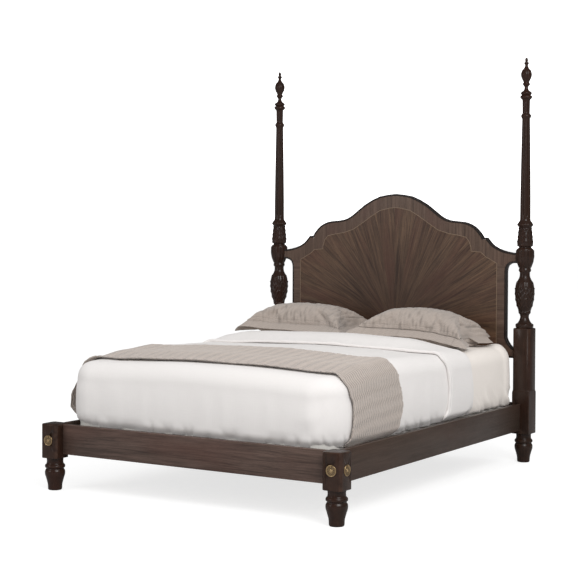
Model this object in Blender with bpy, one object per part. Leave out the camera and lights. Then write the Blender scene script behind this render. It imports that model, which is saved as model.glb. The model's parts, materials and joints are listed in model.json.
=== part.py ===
"""Queen bed with two tall turned head posts, low foot posts, a shaped headboard and its bedding.

Metres, +Z up. X runs across the bed, the head is at +Y, and the origin is on the floor at the centre.
Every sub-part is one closed solid; fits between touching solids are FIT wide.
"""

import math

import bmesh
import bpy
from mathutils import Matrix, Vector

# ---- driving dimensions -------------------------------------------------------------------------
FIT = 0.0003
SIDES = 16

POST_X = 0.8125
POST_Y = 1.0412
BLOCK = 0.1016
HALF = BLOCK / 2
BLOCK_BOTTOM = 0.1605
FOOT_BLOCK_TOP = 0.332
HEAD_BLOCK_TOP = 0.750
CHAMFER_START = 0.391
FOOT_CHAMFER = 0.011
HEAD_CHAMFER = 0.0127
EASED = 0.0015
BLOCK_FOOT_EDGE = 0.002
BLOCK_TOP_EDGE = 0.004
CHAMFER_RUN = 0.018

RAIL_BOTTOM = 0.180
RAIL_TOP = 0.329
RAIL_THICK = 0.026
TENON_LONG = 0.015
TENON_THICK = 0.014
TENON_MARGIN = 0.018

DOWEL_LONG = 0.030
FOOT_DOWEL_RADIUS = 0.015
POST_DOWEL_RADIUS = 0.012
FINIAL_DOWEL_RADIUS = 0.008
DOWEL_PLAY = 0.0004
CUT_PAST = 0.010

BOARD_THICK = 0.030
RIM_WIDE = 0.010
RIM_THICK = 0.033
EAR_REACH = 0.7735

COVER_RADIUS = 0.026
COVER_THICK = 0.004
COVER_BEVEL = 0.003
COVER_PLAY = 0.0001
COVER_SIDES = 32
COVER_Z = 0.2505
PIN_RISE = 0.019
PIN_RADIUS = 0.00205
PIN_DEPTH = 0.018
PIN_PROUD = 0.001
PIN_HEAD_RADIUS = 0.0035
PIN_HEAD_TOP = 0.002
BOLT_RADIUS = 0.004
BOLT_STAGGER = 0.007
BOLT_HEAD_RADIUS = 0.0075
BOLT_HEAD_LONG = 0.008
COUNTERBORE_RADIUS = 0.0105
COUNTERBORE_DEEP = 0.018
BOLT_IN_RAIL = 0.055
BOLT_SIDES = 12
BORE_SIDES = 20
OVERLAP = 0.002

SLAT_WIDE = 0.090
SLAT_THICK = 0.018
SLAT_COUNT = 5
SLAT_PITCH = 0.440
CLEAT_WIDE = 0.030
CLEAT_TALL = 0.025
CLEAT_BOTTOM = 0.182
CLEAT_STOP_FOOT = 0.040
CLEAT_STOP_HEAD = 0.060
SLAT_PLAY = 0.002
BEAM_WIDE = 0.040
BEAM_TALL = 0.050
LEG_PLACES = (("foot", -0.100), ("head", 0.550))
LEG_CORNER = 0.006

MATTRESS_HALF = 0.7575
MATTRESS_FRONT = -1.008
MATTRESS_BACK = 1.020
MATTRESS_BOTTOM = 0.400
MATTRESS_TOP = 0.645
MATTRESS_CORNER = 0.060
BOX_SPRING_INSET = 0.004
BOX_SPRING_CORNER = 0.030
SHEET_HEM_RISE = 0.010
SHEET_CORNER = 0.020
DUVET_CORNER = 0.012
TRAY_CUT_BOTTOM = 0.300
TRAY_CUT_PAST = 0.100
SHEET_THICK = 0.003
DUVET_TOP_THICK = 0.036
DUVET_SIDE_THICK = 0.014
HEM_Z = 0.336
DUVET_HEAD = 0.420
FOLD_FRONT = 0.140
THROW_FRONT = -0.880
THROW_BACK = -0.380
LAYER = 0.009
FOLD_PUFF = 0.028

PILLOW_LONG = 0.740
PILLOW_DEEP = 0.520
PILLOW_THICK = 0.200
FLANGE_THICK = 0.008
FLANGE_HEIGHT = 0.045
PILLOW_CENTRES = (("left", -0.402, 0.722), ("right", 0.345, 0.715))

# ---- turned profiles: (height, diameter), bottom to top ------------------------------------------
FOOT_PROFILE = (
    (0.000, 0.062), (0.003, 0.068), (0.026, 0.072), (0.035, 0.075), (0.062, 0.0895),
    (0.076, 0.0985), (0.086, 0.1005), (0.096, 0.0985), (0.105, 0.089), (0.109, 0.089),
    (0.113, 0.0985), (0.119, 0.1005), (0.125, 0.0975), (0.131, 0.086), (0.142, 0.082),
    (BLOCK_BOTTOM - FIT, 0.084),
)
VASE_PROFILE = (
    (HEAD_BLOCK_TOP + FIT, 0.0925), (0.757, 0.0985), (0.764, 0.100), (0.771, 0.0985), (0.778, 0.078),
    (0.795, 0.057), (0.8115, 0.048), (0.826, 0.054), (0.834, 0.067), (0.841, 0.066), (0.845, 0.0615),
    (0.873, 0.082), (0.907, 0.097), (0.936, 0.102), (0.965, 0.1035), (0.988, 0.098), (1.0075, 0.088),
    (1.0185, 0.075), (1.035, 0.060), (1.056, 0.056), (1.064, 0.058),
)
CUP_PROFILE = (
    (1.064 + FIT, 0.062), (1.0725, 0.0685), (1.080, 0.066), (1.085, 0.063), (1.100, 0.073),
    (1.119, 0.087), (1.148, 0.0965), (1.175, 0.095), (1.192, 0.089), (1.1985, 0.070), (1.2035, 0.070),
    (1.2085, 0.080), (1.229, 0.084), (1.264, 0.076), (1.309, 0.066), (1.319, 0.080), (1.3275, 0.089),
    (1.336, 0.080), (1.3425, 0.072),
)
COLUMN_PROFILE = (
    (1.3425 + FIT, 0.064), (1.359, 0.058), (1.4655, 0.057), (1.610, 0.0535), (1.800, 0.0475),
    (1.916, 0.0435), (1.9245, 0.052), (1.9325, 0.0565), (1.940, 0.051), (1.947, 0.0405), (2.005, 0.0425),
    (2.022, 0.0445), (2.030, 0.060), (2.039, 0.0685), (2.0445, 0.060), (2.0495, 0.0475),
)
FINIAL_PROFILE = (
    (2.0495 + FIT, 0.052), (2.0595, 0.063), (2.067, 0.052), (2.075, 0.0305), (2.092, 0.0205),
    (2.101, 0.030), (2.1085, 0.0415), (2.115, 0.036), (2.1215, 0.0305), (2.144, 0.050), (2.163, 0.057),
    (2.177, 0.052), (2.1885, 0.0425), (2.200, 0.0255), (2.216, 0.0165), (2.2225, 0.024), (2.228, 0.0285),
    (2.2325, 0.0155), (2.238, 0.0155), (2.2435, 0.017), (2.2525, 0.012), (2.2575, 0.004),
)

# ---- headboard outline, right half ---------------------------------------------------------------
CREST = (
    (0.000, 1.504), (0.102, 1.490), (0.203, 1.441), (0.2895, 1.3765), (0.345, 1.352),
    (0.406, 1.345), (0.457, 1.338), (0.508, 1.314), (0.5455, 1.2765), (0.560, 1.2535),
)
SWEEP = ((0.583, 1.2535), (0.5975, 1.237), (0.6266, 1.2085), (0.680, 1.1827), (0.735, 1.171), (0.757, 1.169))
SLOT_TOP = ((0.757, 1.112), (0.7465, 1.112), (0.730, 1.108), (0.715, 1.097), (0.708, 1.080), (0.706, 1.061))
SLOT_FOOT = ((0.706, 0.695), (0.709, 0.6835), (0.715, 0.671), (0.7265, 0.654), (0.742, 0.638), (0.757, 0.632))
BOARD_BOTTOM = 0.579

WALNUT = ("walnut", (0.060, 0.034, 0.024), 0.38, 0.0)
VENEER = ("headboard_veneer", (0.085, 0.055, 0.042), 0.40, 0.0)
PINE = ("slat_pine", (0.52, 0.38, 0.24), 0.70, 0.0)
BRASS = ("antique_brass", (0.36, 0.27, 0.15), 0.38, 1.0)
STEEL = ("zinc_steel", (0.50, 0.50, 0.48), 0.40, 1.0)
TICKING = ("ticking", (0.78, 0.76, 0.72), 0.90, 0.0)
CREAM = ("cream_sheet", (0.72, 0.67, 0.59), 0.90, 0.0)
WHITE = ("white_cotton", (0.82, 0.80, 0.77), 0.90, 0.0)
TAUPE = ("taupe_quilt", (0.40, 0.34, 0.28), 0.92, 0.0)


def clear_scene():
    """Empty the scene without closing the file."""
    for thing in list(bpy.data.objects):
        bpy.data.objects.remove(thing, do_unlink=True)


def material(finish):
    """One Principled BSDF for a finish: name, colour, roughness and metallic value."""
    name, colour, roughness, metallic = finish
    made = bpy.data.materials.get(name)
    if made is None:
        made = bpy.data.materials.new(name)
        made.use_nodes = True
        shader = made.node_tree.nodes["Principled BSDF"]
        shader.inputs["Base Color"].default_value = (*colour, 1.0)
        shader.inputs["Roughness"].default_value = roughness
        shader.inputs["Metallic"].default_value = metallic
    return made


def add_object(name, bm, finish=None, location=(0.0, 0.0, 0.0), smooth=False):
    """Turn a bmesh into a named object; with no finish it is a hidden cutter."""
    bmesh.ops.remove_doubles(bm, verts=bm.verts, dist=1e-7)
    bmesh.ops.recalc_face_normals(bm, faces=bm.faces)
    mesh = bpy.data.meshes.new(name)
    bm.to_mesh(mesh)
    bm.free()
    made = bpy.data.objects.new(name, mesh)
    made.location = location
    bpy.context.scene.collection.objects.link(made)
    if finish is None:
        made.hide_render = True
        made.display_type = "WIRE"
    else:
        mesh.materials.append(material(finish))
    if smooth:
        mesh.shade_smooth()
        mesh.set_sharp_from_angle(angle=math.radians(40))
    return made


def boolean(target, tool, operation):
    """Add an exact Boolean to target, with tool hidden from the result."""
    change = target.modifiers.new(tool.name, "BOOLEAN")
    change.operation = operation
    change.solver = "EXACT"
    change.object = tool
    tool.hide_render = True
    tool.display_type = "WIRE"


def cut(target, cutter):
    """Take cutter out of target."""
    boolean(target, cutter, "DIFFERENCE")


def join(target, added):
    """Make added one body with target."""
    boolean(target, added, "UNION")


def box_mesh(low, high, corner=0.0):
    """A box between two corners, its vertical edges rounded by corner."""
    bm = bmesh.new()
    bmesh.ops.create_cube(bm, size=1.0)
    size = Vector(high) - Vector(low)
    middle = (Vector(high) + Vector(low)) / 2
    bmesh.ops.transform(bm, matrix=Matrix.Translation(middle) @ Matrix.Diagonal((*size, 1.0)), verts=bm.verts)
    if corner:
        upright = [e for e in bm.edges if abs(e.verts[0].co.z - e.verts[1].co.z) > size.z / 2]
        bmesh.ops.bevel(
            bm, geom=upright, offset=corner, affect="EDGES", segments=4, profile=0.5, material=-1
        )
    return bm


def add_box(name, low, high, finish=None, corner=0.0):
    """A box object between two corners."""
    return add_object(name, box_mesh(low, high, corner), finish)


def cylinder_mesh(radius, start, end, sides=SIDES):
    """A closed cylinder between two points."""
    bm = bmesh.new()
    along = Vector(end) - Vector(start)
    turn = Vector((0, 0, 1)).rotation_difference(along).to_matrix().to_4x4()
    place = Matrix.Translation((Vector(start) + Vector(end)) / 2) @ turn
    bmesh.ops.create_cone(
        bm, cap_ends=True, segments=sides, radius1=radius, radius2=radius, depth=along.length, matrix=place
    )
    return bm


def turned_mesh(profile, dowel=0.0, socket=0.0):
    """Spin a profile round Z, with a dowel on top and a socket underneath where asked for."""
    points = [(z, d / 2) for z, d in profile]
    bottom, top = points[0][0], points[-1][0]
    start = [(bottom, 0.0)]
    if socket:
        start = [(bottom + DOWEL_LONG + FIT, 0.0), (bottom + DOWEL_LONG + FIT, socket), (bottom, socket)]
    end = [(top, 0.0)]
    if dowel:
        end = [(top, dowel), (top + DOWEL_LONG, dowel), (top + DOWEL_LONG, 0.0)]
    bm = bmesh.new()
    verts = [bm.verts.new((radius, 0.0, z)) for z, radius in start + points + end]
    edges = [bm.edges.new(pair) for pair in zip(verts, verts[1:])]
    bmesh.ops.spin(
        bm, geom=verts + edges, cent=(0, 0, 0), axis=(0, 0, 1), angle=math.tau, steps=SIDES, use_merge=True
    )
    bmesh.ops.remove_doubles(bm, verts=bm.verts, dist=1e-6)
    return bm


def ring_of(bm, z, half, chamfer):
    """Eight vertices of a square with its corners cut off."""
    flat = half - chamfer
    signs = ((1, -1), (1, 1), (-1, 1), (-1, -1))
    verts = []
    for sx, sy in signs:
        pair = [(sx * half, sy * flat), (sx * flat, sy * half)]
        if sx * sy > 0:
            verts += [bm.verts.new((x, y, z)) for x, y in pair]
        else:
            verts += [bm.verts.new((x, y, z)) for x, y in reversed(pair)]
    return verts


def block_mesh(levels):
    """A square block lofted through levels of (height, half width, corner chamfer)."""
    bm = bmesh.new()
    rings = [ring_of(bm, *level) for level in levels]
    loops = []
    for ring in rings:
        loops.append([bm.edges.new((ring[i], ring[(i + 1) % 8])) for i in range(8)])
    for lower, upper in zip(loops, loops[1:]):
        bmesh.ops.bridge_loops(bm, edges=lower + upper)
    bm.faces.new(rings[0])
    bm.faces.new(rings[-1])
    return bm


def side_name(sx):
    """Left is -X and right is +X, seen from the foot of the bed."""
    return "right" if sx > 0 else "left"


# ---- posts ---------------------------------------------------------------------------------------
def dowel_hole(target, name, x, y, bottom, top, radius):
    """An upright hole for a turned piece's dowel."""
    cutter = add_object(name, cylinder_mesh(radius, (x, y, bottom), (x, y, top)))
    cut(target, cutter)


def add_post_blocks():
    """The four square blocks, each with a socket for its turned foot."""
    foot_levels = (
        (BLOCK_BOTTOM, HALF - BLOCK_FOOT_EDGE, FOOT_CHAMFER),
        (BLOCK_BOTTOM + BLOCK_FOOT_EDGE, HALF, FOOT_CHAMFER),
        (FOOT_BLOCK_TOP - BLOCK_TOP_EDGE, HALF, FOOT_CHAMFER),
        (FOOT_BLOCK_TOP, HALF - BLOCK_TOP_EDGE, FOOT_CHAMFER),
    )
    head_levels = (
        (BLOCK_BOTTOM, HALF - BLOCK_FOOT_EDGE, EASED),
        (BLOCK_BOTTOM + BLOCK_FOOT_EDGE, HALF, EASED),
        (CHAMFER_START, HALF, EASED),
        (CHAMFER_START + CHAMFER_RUN * 0.55, HALF, HEAD_CHAMFER * 0.8),
        (CHAMFER_START + CHAMFER_RUN, HALF, HEAD_CHAMFER),
        (HEAD_BLOCK_TOP - BLOCK_TOP_EDGE, HALF, HEAD_CHAMFER),
        (HEAD_BLOCK_TOP, HALF - BLOCK_TOP_EDGE, HEAD_CHAMFER),
    )
    blocks = {}
    for sx in (-1, 1):
        for sy, end, levels in ((-1, "foot", foot_levels), (1, "head", head_levels)):
            name = f"{end}_post_{side_name(sx)}"
            centre = (sx * POST_X, sy * POST_Y)
            block = add_object(name, block_mesh(levels), WALNUT, (*centre, 0.0))
            dowel_hole(
                block, f"cut_{name}_foot", *centre, BLOCK_BOTTOM - CUT_PAST, BLOCK_BOTTOM + DOWEL_LONG + FIT,
                FOOT_DOWEL_RADIUS + DOWEL_PLAY,
            )
            blocks[sx, sy] = block
            add_object(
                f"{end}_post_foot_{side_name(sx)}", turned_mesh(FOOT_PROFILE, dowel=FOOT_DOWEL_RADIUS), WALNUT,
                (*centre, 0.0), smooth=True,
            )
    return blocks


def add_tall_turnings(blocks):
    """Vase, cup, column and finial of each head post, each doweled into the piece below it."""
    cups = {}
    for sx in (-1, 1):
        centre = (sx * POST_X, POST_Y)
        dowel_hole(
            blocks[sx, 1], f"cut_head_{side_name(sx)}_top", *centre,
            HEAD_BLOCK_TOP - DOWEL_LONG - FIT, HEAD_BLOCK_TOP + CUT_PAST, FOOT_DOWEL_RADIUS + DOWEL_PLAY,
        )
        vase = turned_mesh(VASE_PROFILE, dowel=POST_DOWEL_RADIUS)
        tenon = bmesh.new()
        bmesh.ops.create_cone(
            tenon, cap_ends=True, segments=SIDES, radius1=FOOT_DOWEL_RADIUS, radius2=FOOT_DOWEL_RADIUS,
            depth=DOWEL_LONG + CUT_PAST,
            matrix=Matrix.Translation((0, 0, HEAD_BLOCK_TOP - (DOWEL_LONG - CUT_PAST) / 2)),
        )
        lower = add_object(f"head_post_vase_{side_name(sx)}", vase, WALNUT, (*centre, 0.0), smooth=True)
        peg = add_object(f"cut_vase_peg_{side_name(sx)}", tenon, None, (*centre, 0.0))
        join(lower, peg)
        stack = (
            ("cup", CUP_PROFILE, POST_DOWEL_RADIUS + DOWEL_PLAY, POST_DOWEL_RADIUS),
            ("column", COLUMN_PROFILE, POST_DOWEL_RADIUS + DOWEL_PLAY, FINIAL_DOWEL_RADIUS),
            ("finial", FINIAL_PROFILE, FINIAL_DOWEL_RADIUS + DOWEL_PLAY, 0.0),
        )
        for piece, profile, socket, dowel in stack:
            made = add_object(
                f"head_post_{piece}_{side_name(sx)}", turned_mesh(profile, dowel, socket), WALNUT,
                (*centre, 0.0), smooth=True,
            )
            if piece == "cup":
                cups[sx] = made
    return cups


# ---- rails ---------------------------------------------------------------------------------------
def tenoned_rail(name, axis, face, ends):
    """A rail with its outer face at face and a stub tenon at each end.

    axis is 0 for a rail along X and 1 for a rail along Y; the rail's inner side is towards the centre.
    """
    inner = face - math.copysign(RAIL_THICK, face)
    middle = (face + inner) / 2
    across = 1 - axis
    low = [0.0, 0.0, RAIL_BOTTOM]
    high = [0.0, 0.0, RAIL_TOP]
    low[axis], high[axis] = ends
    low[across], high[across] = min(face, inner), max(face, inner)
    rail = add_box(name, low, high, WALNUT)
    for index, end in enumerate(ends):
        out = 1 if index else -1
        tip = end + out * TENON_LONG
        t_low = [0.0, 0.0, RAIL_BOTTOM + TENON_MARGIN]
        t_high = [0.0, 0.0, RAIL_TOP - TENON_MARGIN]
        t_low[axis], t_high[axis] = min(end - out * 0.01, tip), max(end - out * 0.01, tip)
        t_low[across], t_high[across] = middle - TENON_THICK / 2, middle + TENON_THICK / 2
        tenon = add_box(f"cut_{name}_tenon_{index}", t_low, t_high)
        join = rail.modifiers.new(f"tenon_{index}", "BOOLEAN")
        join.operation = "UNION"
        join.solver = "EXACT"
        join.object = tenon
    return rail


def mortise(block, name, axis, end, out, middle):
    """The pocket in a block that takes a rail's tenon, its face at end."""
    across = 1 - axis
    deep = end + out * (TENON_LONG + 2 * FIT)
    low = [0.0, 0.0, RAIL_BOTTOM + TENON_MARGIN - FIT]
    high = [0.0, 0.0, RAIL_TOP - TENON_MARGIN + FIT]
    low[axis], high[axis] = min(end - out * 0.01, deep), max(end - out * 0.01, deep)
    low[across], high[across] = middle - TENON_THICK / 2 - FIT, middle + TENON_THICK / 2 + FIT
    cut(block, add_box(f"cut_{name}", low, high))


def add_rails(blocks):
    """Front, head and side rails, tenoned into the blocks."""
    rails = {}
    x_end = POST_X - HALF - FIT
    y_end = POST_Y - HALF - FIT
    middle_x = POST_X - RAIL_THICK / 2
    middle_y = POST_Y - RAIL_THICK / 2
    rails["front"] = tenoned_rail("front_rail", 0, -POST_Y, (-x_end, x_end))
    rails["head"] = tenoned_rail("head_rail", 0, POST_Y + RAIL_THICK / 2, (-x_end, x_end))
    for sx in (-1, 1):
        side = side_name(sx)
        rails[side] = tenoned_rail(f"side_rail_{side}", 1, sx * POST_X, (-y_end, y_end))
        mortise(blocks[sx, -1], f"foot_{side}_front_mortise", 0, sx * (POST_X - HALF), sx, -middle_y)
        mortise(blocks[sx, 1], f"head_{side}_head_mortise", 0, sx * (POST_X - HALF), sx, POST_Y)
        mortise(blocks[sx, -1], f"foot_{side}_side_mortise", 1, -(POST_Y - HALF), -1, sx * middle_x)
        mortise(blocks[sx, 1], f"head_{side}_side_mortise", 1, POST_Y - HALF, 1, sx * middle_x)
    return rails


# ---- bed bolts and their swinging covers ---------------------------------------------------------
def add_bolt_joint(name, block, rail, face, inward, bolt_shift, bolt_z):
    """Bolt, counterbore, cover and pin for one joint.

    face is the middle of the cover's place on the block, inward the unit direction into the wood, and
    bolt_shift the bolt's sideways offset from it, so that it runs up the middle of the rail.
    """
    face = Vector(face)
    inward = Vector(inward)
    centre = Vector((face.x, face.y, bolt_z)) + Vector(bolt_shift)
    floor = centre + inward * COUNTERBORE_DEEP
    tip = centre + inward * (BLOCK + BOLT_IN_RAIL)
    pin_at = face + Vector((0, 0, PIN_RISE))

    bore = cylinder_mesh(COUNTERBORE_RADIUS, centre - inward * CUT_PAST, floor, BORE_SIDES)
    cut(block, add_object(f"cut_{name}_counterbore", bore))
    shank_hole = cylinder_mesh(BOLT_RADIUS + FIT, floor - inward * OVERLAP, tip + inward * OVERLAP, BOLT_SIDES)
    hole = add_object(f"cut_{name}_hole", shank_hole)
    cut(block, hole)
    cut(rail, hole)
    pin_hole = cylinder_mesh(
        PIN_RADIUS + FIT, pin_at - inward * CUT_PAST, pin_at + inward * (PIN_DEPTH + FIT), BOLT_SIDES
    )
    cut(block, add_object(f"cut_{name}_pin", pin_hole))

    bolt = add_object(
        f"bed_bolt_{name}",
        cylinder_mesh(BOLT_RADIUS, floor - inward * OVERLAP, tip, BOLT_SIDES),
        STEEL,
    )
    head = cylinder_mesh(BOLT_HEAD_RADIUS, floor - inward * (BOLT_HEAD_LONG + FIT), floor - inward * FIT, 6)
    cap = add_object(f"cut_{name}_bolt_head", head)
    join(bolt, cap)

    outer = -inward
    turn = Vector((0, 0, 1)).rotation_difference(outer).to_matrix().to_4x4()
    cover_bm = bmesh.new()
    bmesh.ops.create_cone(
        cover_bm, cap_ends=True, segments=COVER_SIDES, radius1=COVER_RADIUS, radius2=COVER_RADIUS - COVER_BEVEL,
        depth=COVER_THICK, matrix=Matrix.Translation((0, 0, COVER_THICK / 2 + FIT)),
    )
    bmesh.ops.transform(cover_bm, matrix=Matrix.Translation((0, 0, -PIN_RISE)) @ turn, verts=cover_bm.verts)
    cover = add_object(f"bolt_cover_{name}", cover_bm, BRASS, pin_at, smooth=True)
    cover_hole = cylinder_mesh(
        PIN_RADIUS + COVER_PLAY, pin_at - outer * CUT_PAST, pin_at + outer * CUT_PAST, SIDES
    )
    cut(cover, add_object(f"cut_{name}_cover", cover_hole))

    pin_bm = cylinder_mesh(
        PIN_RADIUS, pin_at + inward * PIN_DEPTH, pin_at + outer * (COVER_THICK + PIN_PROUD), SIDES
    )
    pin = add_object(f"cover_pin_{name}", pin_bm, BRASS, smooth=True)
    knob = cylinder_mesh(
        PIN_HEAD_RADIUS, pin_at + outer * (COVER_THICK + 2 * FIT), pin_at + outer * (COVER_THICK + PIN_HEAD_TOP),
        SIDES,
    )
    join(pin, add_object(f"cut_{name}_pin_head", knob))


def add_bolts(blocks, rails):
    """Six bed bolts: two in each foot post, one in each head post."""
    shift = RAIL_THICK / 2
    for sx in (-1, 1):
        side = side_name(sx)
        add_bolt_joint(
            f"foot_{side}_front", blocks[sx, -1], rails[side], (sx * POST_X, -POST_Y - HALF, COVER_Z),
            (0, 1, 0), (-sx * shift, 0, 0), COVER_Z + BOLT_STAGGER,
        )
        add_bolt_joint(
            f"foot_{side}_side", blocks[sx, -1], rails["front"], (sx * (POST_X + HALF), -POST_Y, COVER_Z),
            (-sx, 0, 0), (0, shift, 0), COVER_Z - BOLT_STAGGER,
        )
        add_bolt_joint(
            f"head_{side}_back", blocks[sx, 1], rails[side], (sx * POST_X, POST_Y + HALF, COVER_Z),
            (0, -1, 0), (-sx * shift, 0, 0), COVER_Z + BOLT_STAGGER,
        )


# ---- headboard -----------------------------------------------------------------------------------
def smooth_points(points, steps):
    """Points on a Catmull-Rom curve through the given ones."""
    ends = [points[0], *points, points[-1]]
    out = []
    for before, a, b, after in zip(ends, ends[1:], ends[2:], ends[3:]):
        p0, p1, p2, p3 = (Vector(p) for p in (before, a, b, after))
        for step in range(steps):
            t = step / steps
            out.append(
                0.5 * (2 * p1 + (p2 - p0) * t + (2 * p0 - 5 * p1 + 4 * p2 - p3) * t * t
                       + (3 * p1 - p0 - 3 * p2 + p3) * t ** 3)
            )
    return out + [Vector(points[-1])]


def board_outline():
    """The right half of the headboard's outline, from the crown down to the middle of its bottom edge."""
    half = smooth_points(CREST, 2) + smooth_points(SWEEP, 2)
    half += [Vector((EAR_REACH, SWEEP[-1][1])), Vector((EAR_REACH, SLOT_TOP[0][1]))]
    half += [Vector(p) for p in SLOT_TOP[1:]]
    half += [Vector(p) for p in SLOT_FOOT]
    half += [Vector((EAR_REACH, SLOT_FOOT[-1][1])), Vector((EAR_REACH, BOARD_BOTTOM))]
    return half


def board_face(bm, y):
    """The whole outline as one face in the plane at y."""
    half = board_outline()
    right = [(p.x, p.y) for p in half]
    left = [(-x, z) for x, z in reversed(right) if x > 0]
    verts = [bm.verts.new((x, y, z)) for x, z in right + left]
    face = bm.faces.new(verts)
    face.normal_update()
    return face


def extrude_along_y(bm, faces, depth):
    """Give flat faces a thickness along +Y."""
    grown = bmesh.ops.extrude_face_region(bm, geom=faces, use_keep_orig=True)
    moved = [g for g in grown["geom"] if isinstance(g, bmesh.types.BMVert)]
    bmesh.ops.translate(bm, verts=moved, vec=(0, depth, 0))


def add_headboard(blocks, cups):
    """The veneered panel inside its edge moulding, with ears let into the posts."""
    panel = bmesh.new()
    face = board_face(panel, POST_Y - BOARD_THICK / 2)
    rim = bmesh.ops.inset_region(
        panel, faces=[face], thickness=RIM_WIDE + 2 * FIT, use_boundary=True, use_even_offset=True
    )
    bmesh.ops.delete(panel, geom=rim["faces"], context="FACES")
    extrude_along_y(panel, list(panel.faces), BOARD_THICK)
    add_object("headboard_panel", panel, VENEER)

    moulding = bmesh.new()
    face = board_face(moulding, POST_Y - RIM_THICK / 2)
    ring = bmesh.ops.inset_region(
        moulding, faces=[face], thickness=RIM_WIDE, use_boundary=True, use_even_offset=True
    )
    inner = [f for f in moulding.faces if f not in set(ring["faces"])]
    bmesh.ops.delete(moulding, geom=inner, context="FACES_ONLY")
    extrude_along_y(moulding, list(moulding.faces), RIM_THICK)
    add_object("headboard_moulding", moulding, WALNUT)

    half_pocket = RIM_THICK / 2 + FIT
    for sx in (-1, 1):
        side = side_name(sx)
        for target, low_z, high_z in (
            (cups[sx], SLOT_TOP[0][1] - FIT, SWEEP[-1][1] + FIT),
            (blocks[sx, 1], BOARD_BOTTOM - FIT, SLOT_FOOT[-1][1] + FIT),
        ):
            xs = sorted((sx * (POST_X - 0.08), sx * (EAR_REACH + FIT)))
            pocket = add_box(
                f"cut_{target.name}_pocket_{side}", (xs[0], POST_Y - half_pocket, low_z),
                (xs[1], POST_Y + half_pocket, high_z),
            )
            cut(target, pocket)


# ---- mattress support ----------------------------------------------------------------------------
def add_support():
    """Cleats on the side rails, slats across them, and a centre beam on two legs."""
    inner_x = POST_X - RAIL_THICK - FIT
    inner_y = POST_Y - RAIL_THICK - FIT
    slat_bottom = CLEAT_BOTTOM + CLEAT_TALL + FIT
    for sx in (-1, 1):
        xs = sorted((sx * inner_x, sx * (inner_x - CLEAT_WIDE)))
        add_box(
            f"cleat_{side_name(sx)}", (xs[0], -inner_y + CLEAT_STOP_FOOT, CLEAT_BOTTOM),
            (xs[1], inner_y - CLEAT_STOP_HEAD, CLEAT_BOTTOM + CLEAT_TALL), PINE,
        )
    for index in range(SLAT_COUNT):
        y = (index - (SLAT_COUNT - 1) / 2) * SLAT_PITCH
        add_box(
            f"slat_{index + 1}", (-inner_x + SLAT_PLAY, y - SLAT_WIDE / 2, slat_bottom),
            (inner_x - SLAT_PLAY, y + SLAT_WIDE / 2, slat_bottom + SLAT_THICK), PINE,
        )
    beam_top = slat_bottom - FIT
    beam_reach = SLAT_PITCH * (SLAT_COUNT - 1) / 2 + SLAT_WIDE / 2
    add_box(
        "centre_beam", (-BEAM_WIDE / 2, -beam_reach, beam_top - BEAM_TALL),
        (BEAM_WIDE / 2, beam_reach, beam_top), PINE,
    )
    for end, y in LEG_PLACES:
        add_box(
            f"centre_leg_{end}", (-BEAM_WIDE / 2, y - BEAM_WIDE / 2, 0.0),
            (BEAM_WIDE / 2, y + BEAM_WIDE / 2, beam_top - BEAM_TALL - FIT), PINE, corner=LEG_CORNER,
        )


# ---- bedding -------------------------------------------------------------------------------------
def add_tray(name, finish, outer, inner, corner):
    """An upside-down tray: the outer box with the inner box taken out of its underside."""
    body = add_object(name, box_mesh(*outer, corner), finish)
    cut(body, add_box(f"cut_{name}", *inner))


def add_bedding():
    """Foundation, mattress, sheet, duvet with its turned-back head, and the throw."""
    front, back = MATTRESS_FRONT, MATTRESS_BACK
    foundation_bottom = CLEAT_BOTTOM + CLEAT_TALL + SLAT_THICK + 2 * FIT
    spring_half = MATTRESS_HALF - BOX_SPRING_INSET
    add_box(
        "box_spring", (-spring_half, front + BOX_SPRING_INSET, foundation_bottom),
        (spring_half, back - BOX_SPRING_INSET, MATTRESS_BOTTOM - FIT), TICKING, corner=BOX_SPRING_CORNER,
    )
    add_box(
        "mattress", (-MATTRESS_HALF, front, MATTRESS_BOTTOM), (MATTRESS_HALF, back, MATTRESS_TOP), TICKING,
        corner=MATTRESS_CORNER,
    )
    half = MATTRESS_HALF + SHEET_THICK + FIT
    top = MATTRESS_TOP + SHEET_THICK + FIT
    sheet_front = front - SHEET_THICK - FIT
    sheet_back = back + SHEET_THICK + FIT
    add_tray(
        "fitted_sheet", CREAM,
        ((-half, sheet_front, MATTRESS_BOTTOM + SHEET_HEM_RISE), (half, sheet_back, top)),
        ((-MATTRESS_HALF - FIT, front - FIT, TRAY_CUT_BOTTOM),
         (MATTRESS_HALF + FIT, back + FIT, MATTRESS_TOP + FIT)),
        SHEET_CORNER,
    )
    duvet_half = half + DUVET_SIDE_THICK
    duvet_top = top + DUVET_TOP_THICK
    add_tray(
        "duvet", WHITE,
        ((-duvet_half, sheet_front - DUVET_SIDE_THICK, HEM_Z), (duvet_half, DUVET_HEAD, duvet_top)),
        ((-half - FIT, sheet_front - FIT, TRAY_CUT_BOTTOM),
         (half + FIT, DUVET_HEAD + TRAY_CUT_PAST, top + FIT)),
        DUVET_CORNER,
    )
    layer_half = duvet_half + LAYER
    layer_top = duvet_top + LAYER
    for name, finish, low_y, high_y, puff in (
        ("throw", TAUPE, THROW_FRONT, THROW_BACK, 0.0),
        ("duvet_fold", WHITE, FOLD_FRONT, DUVET_HEAD, FOLD_PUFF),
    ):
        add_tray(
            name, finish,
            ((-layer_half, low_y, HEM_Z), (layer_half, high_y, layer_top + puff)),
            ((-duvet_half - FIT, low_y - TRAY_CUT_PAST, TRAY_CUT_BOTTOM),
             (duvet_half + FIT, high_y + TRAY_CUT_PAST, duvet_top + FIT)),
            0.0,
        )
    return top


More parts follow.
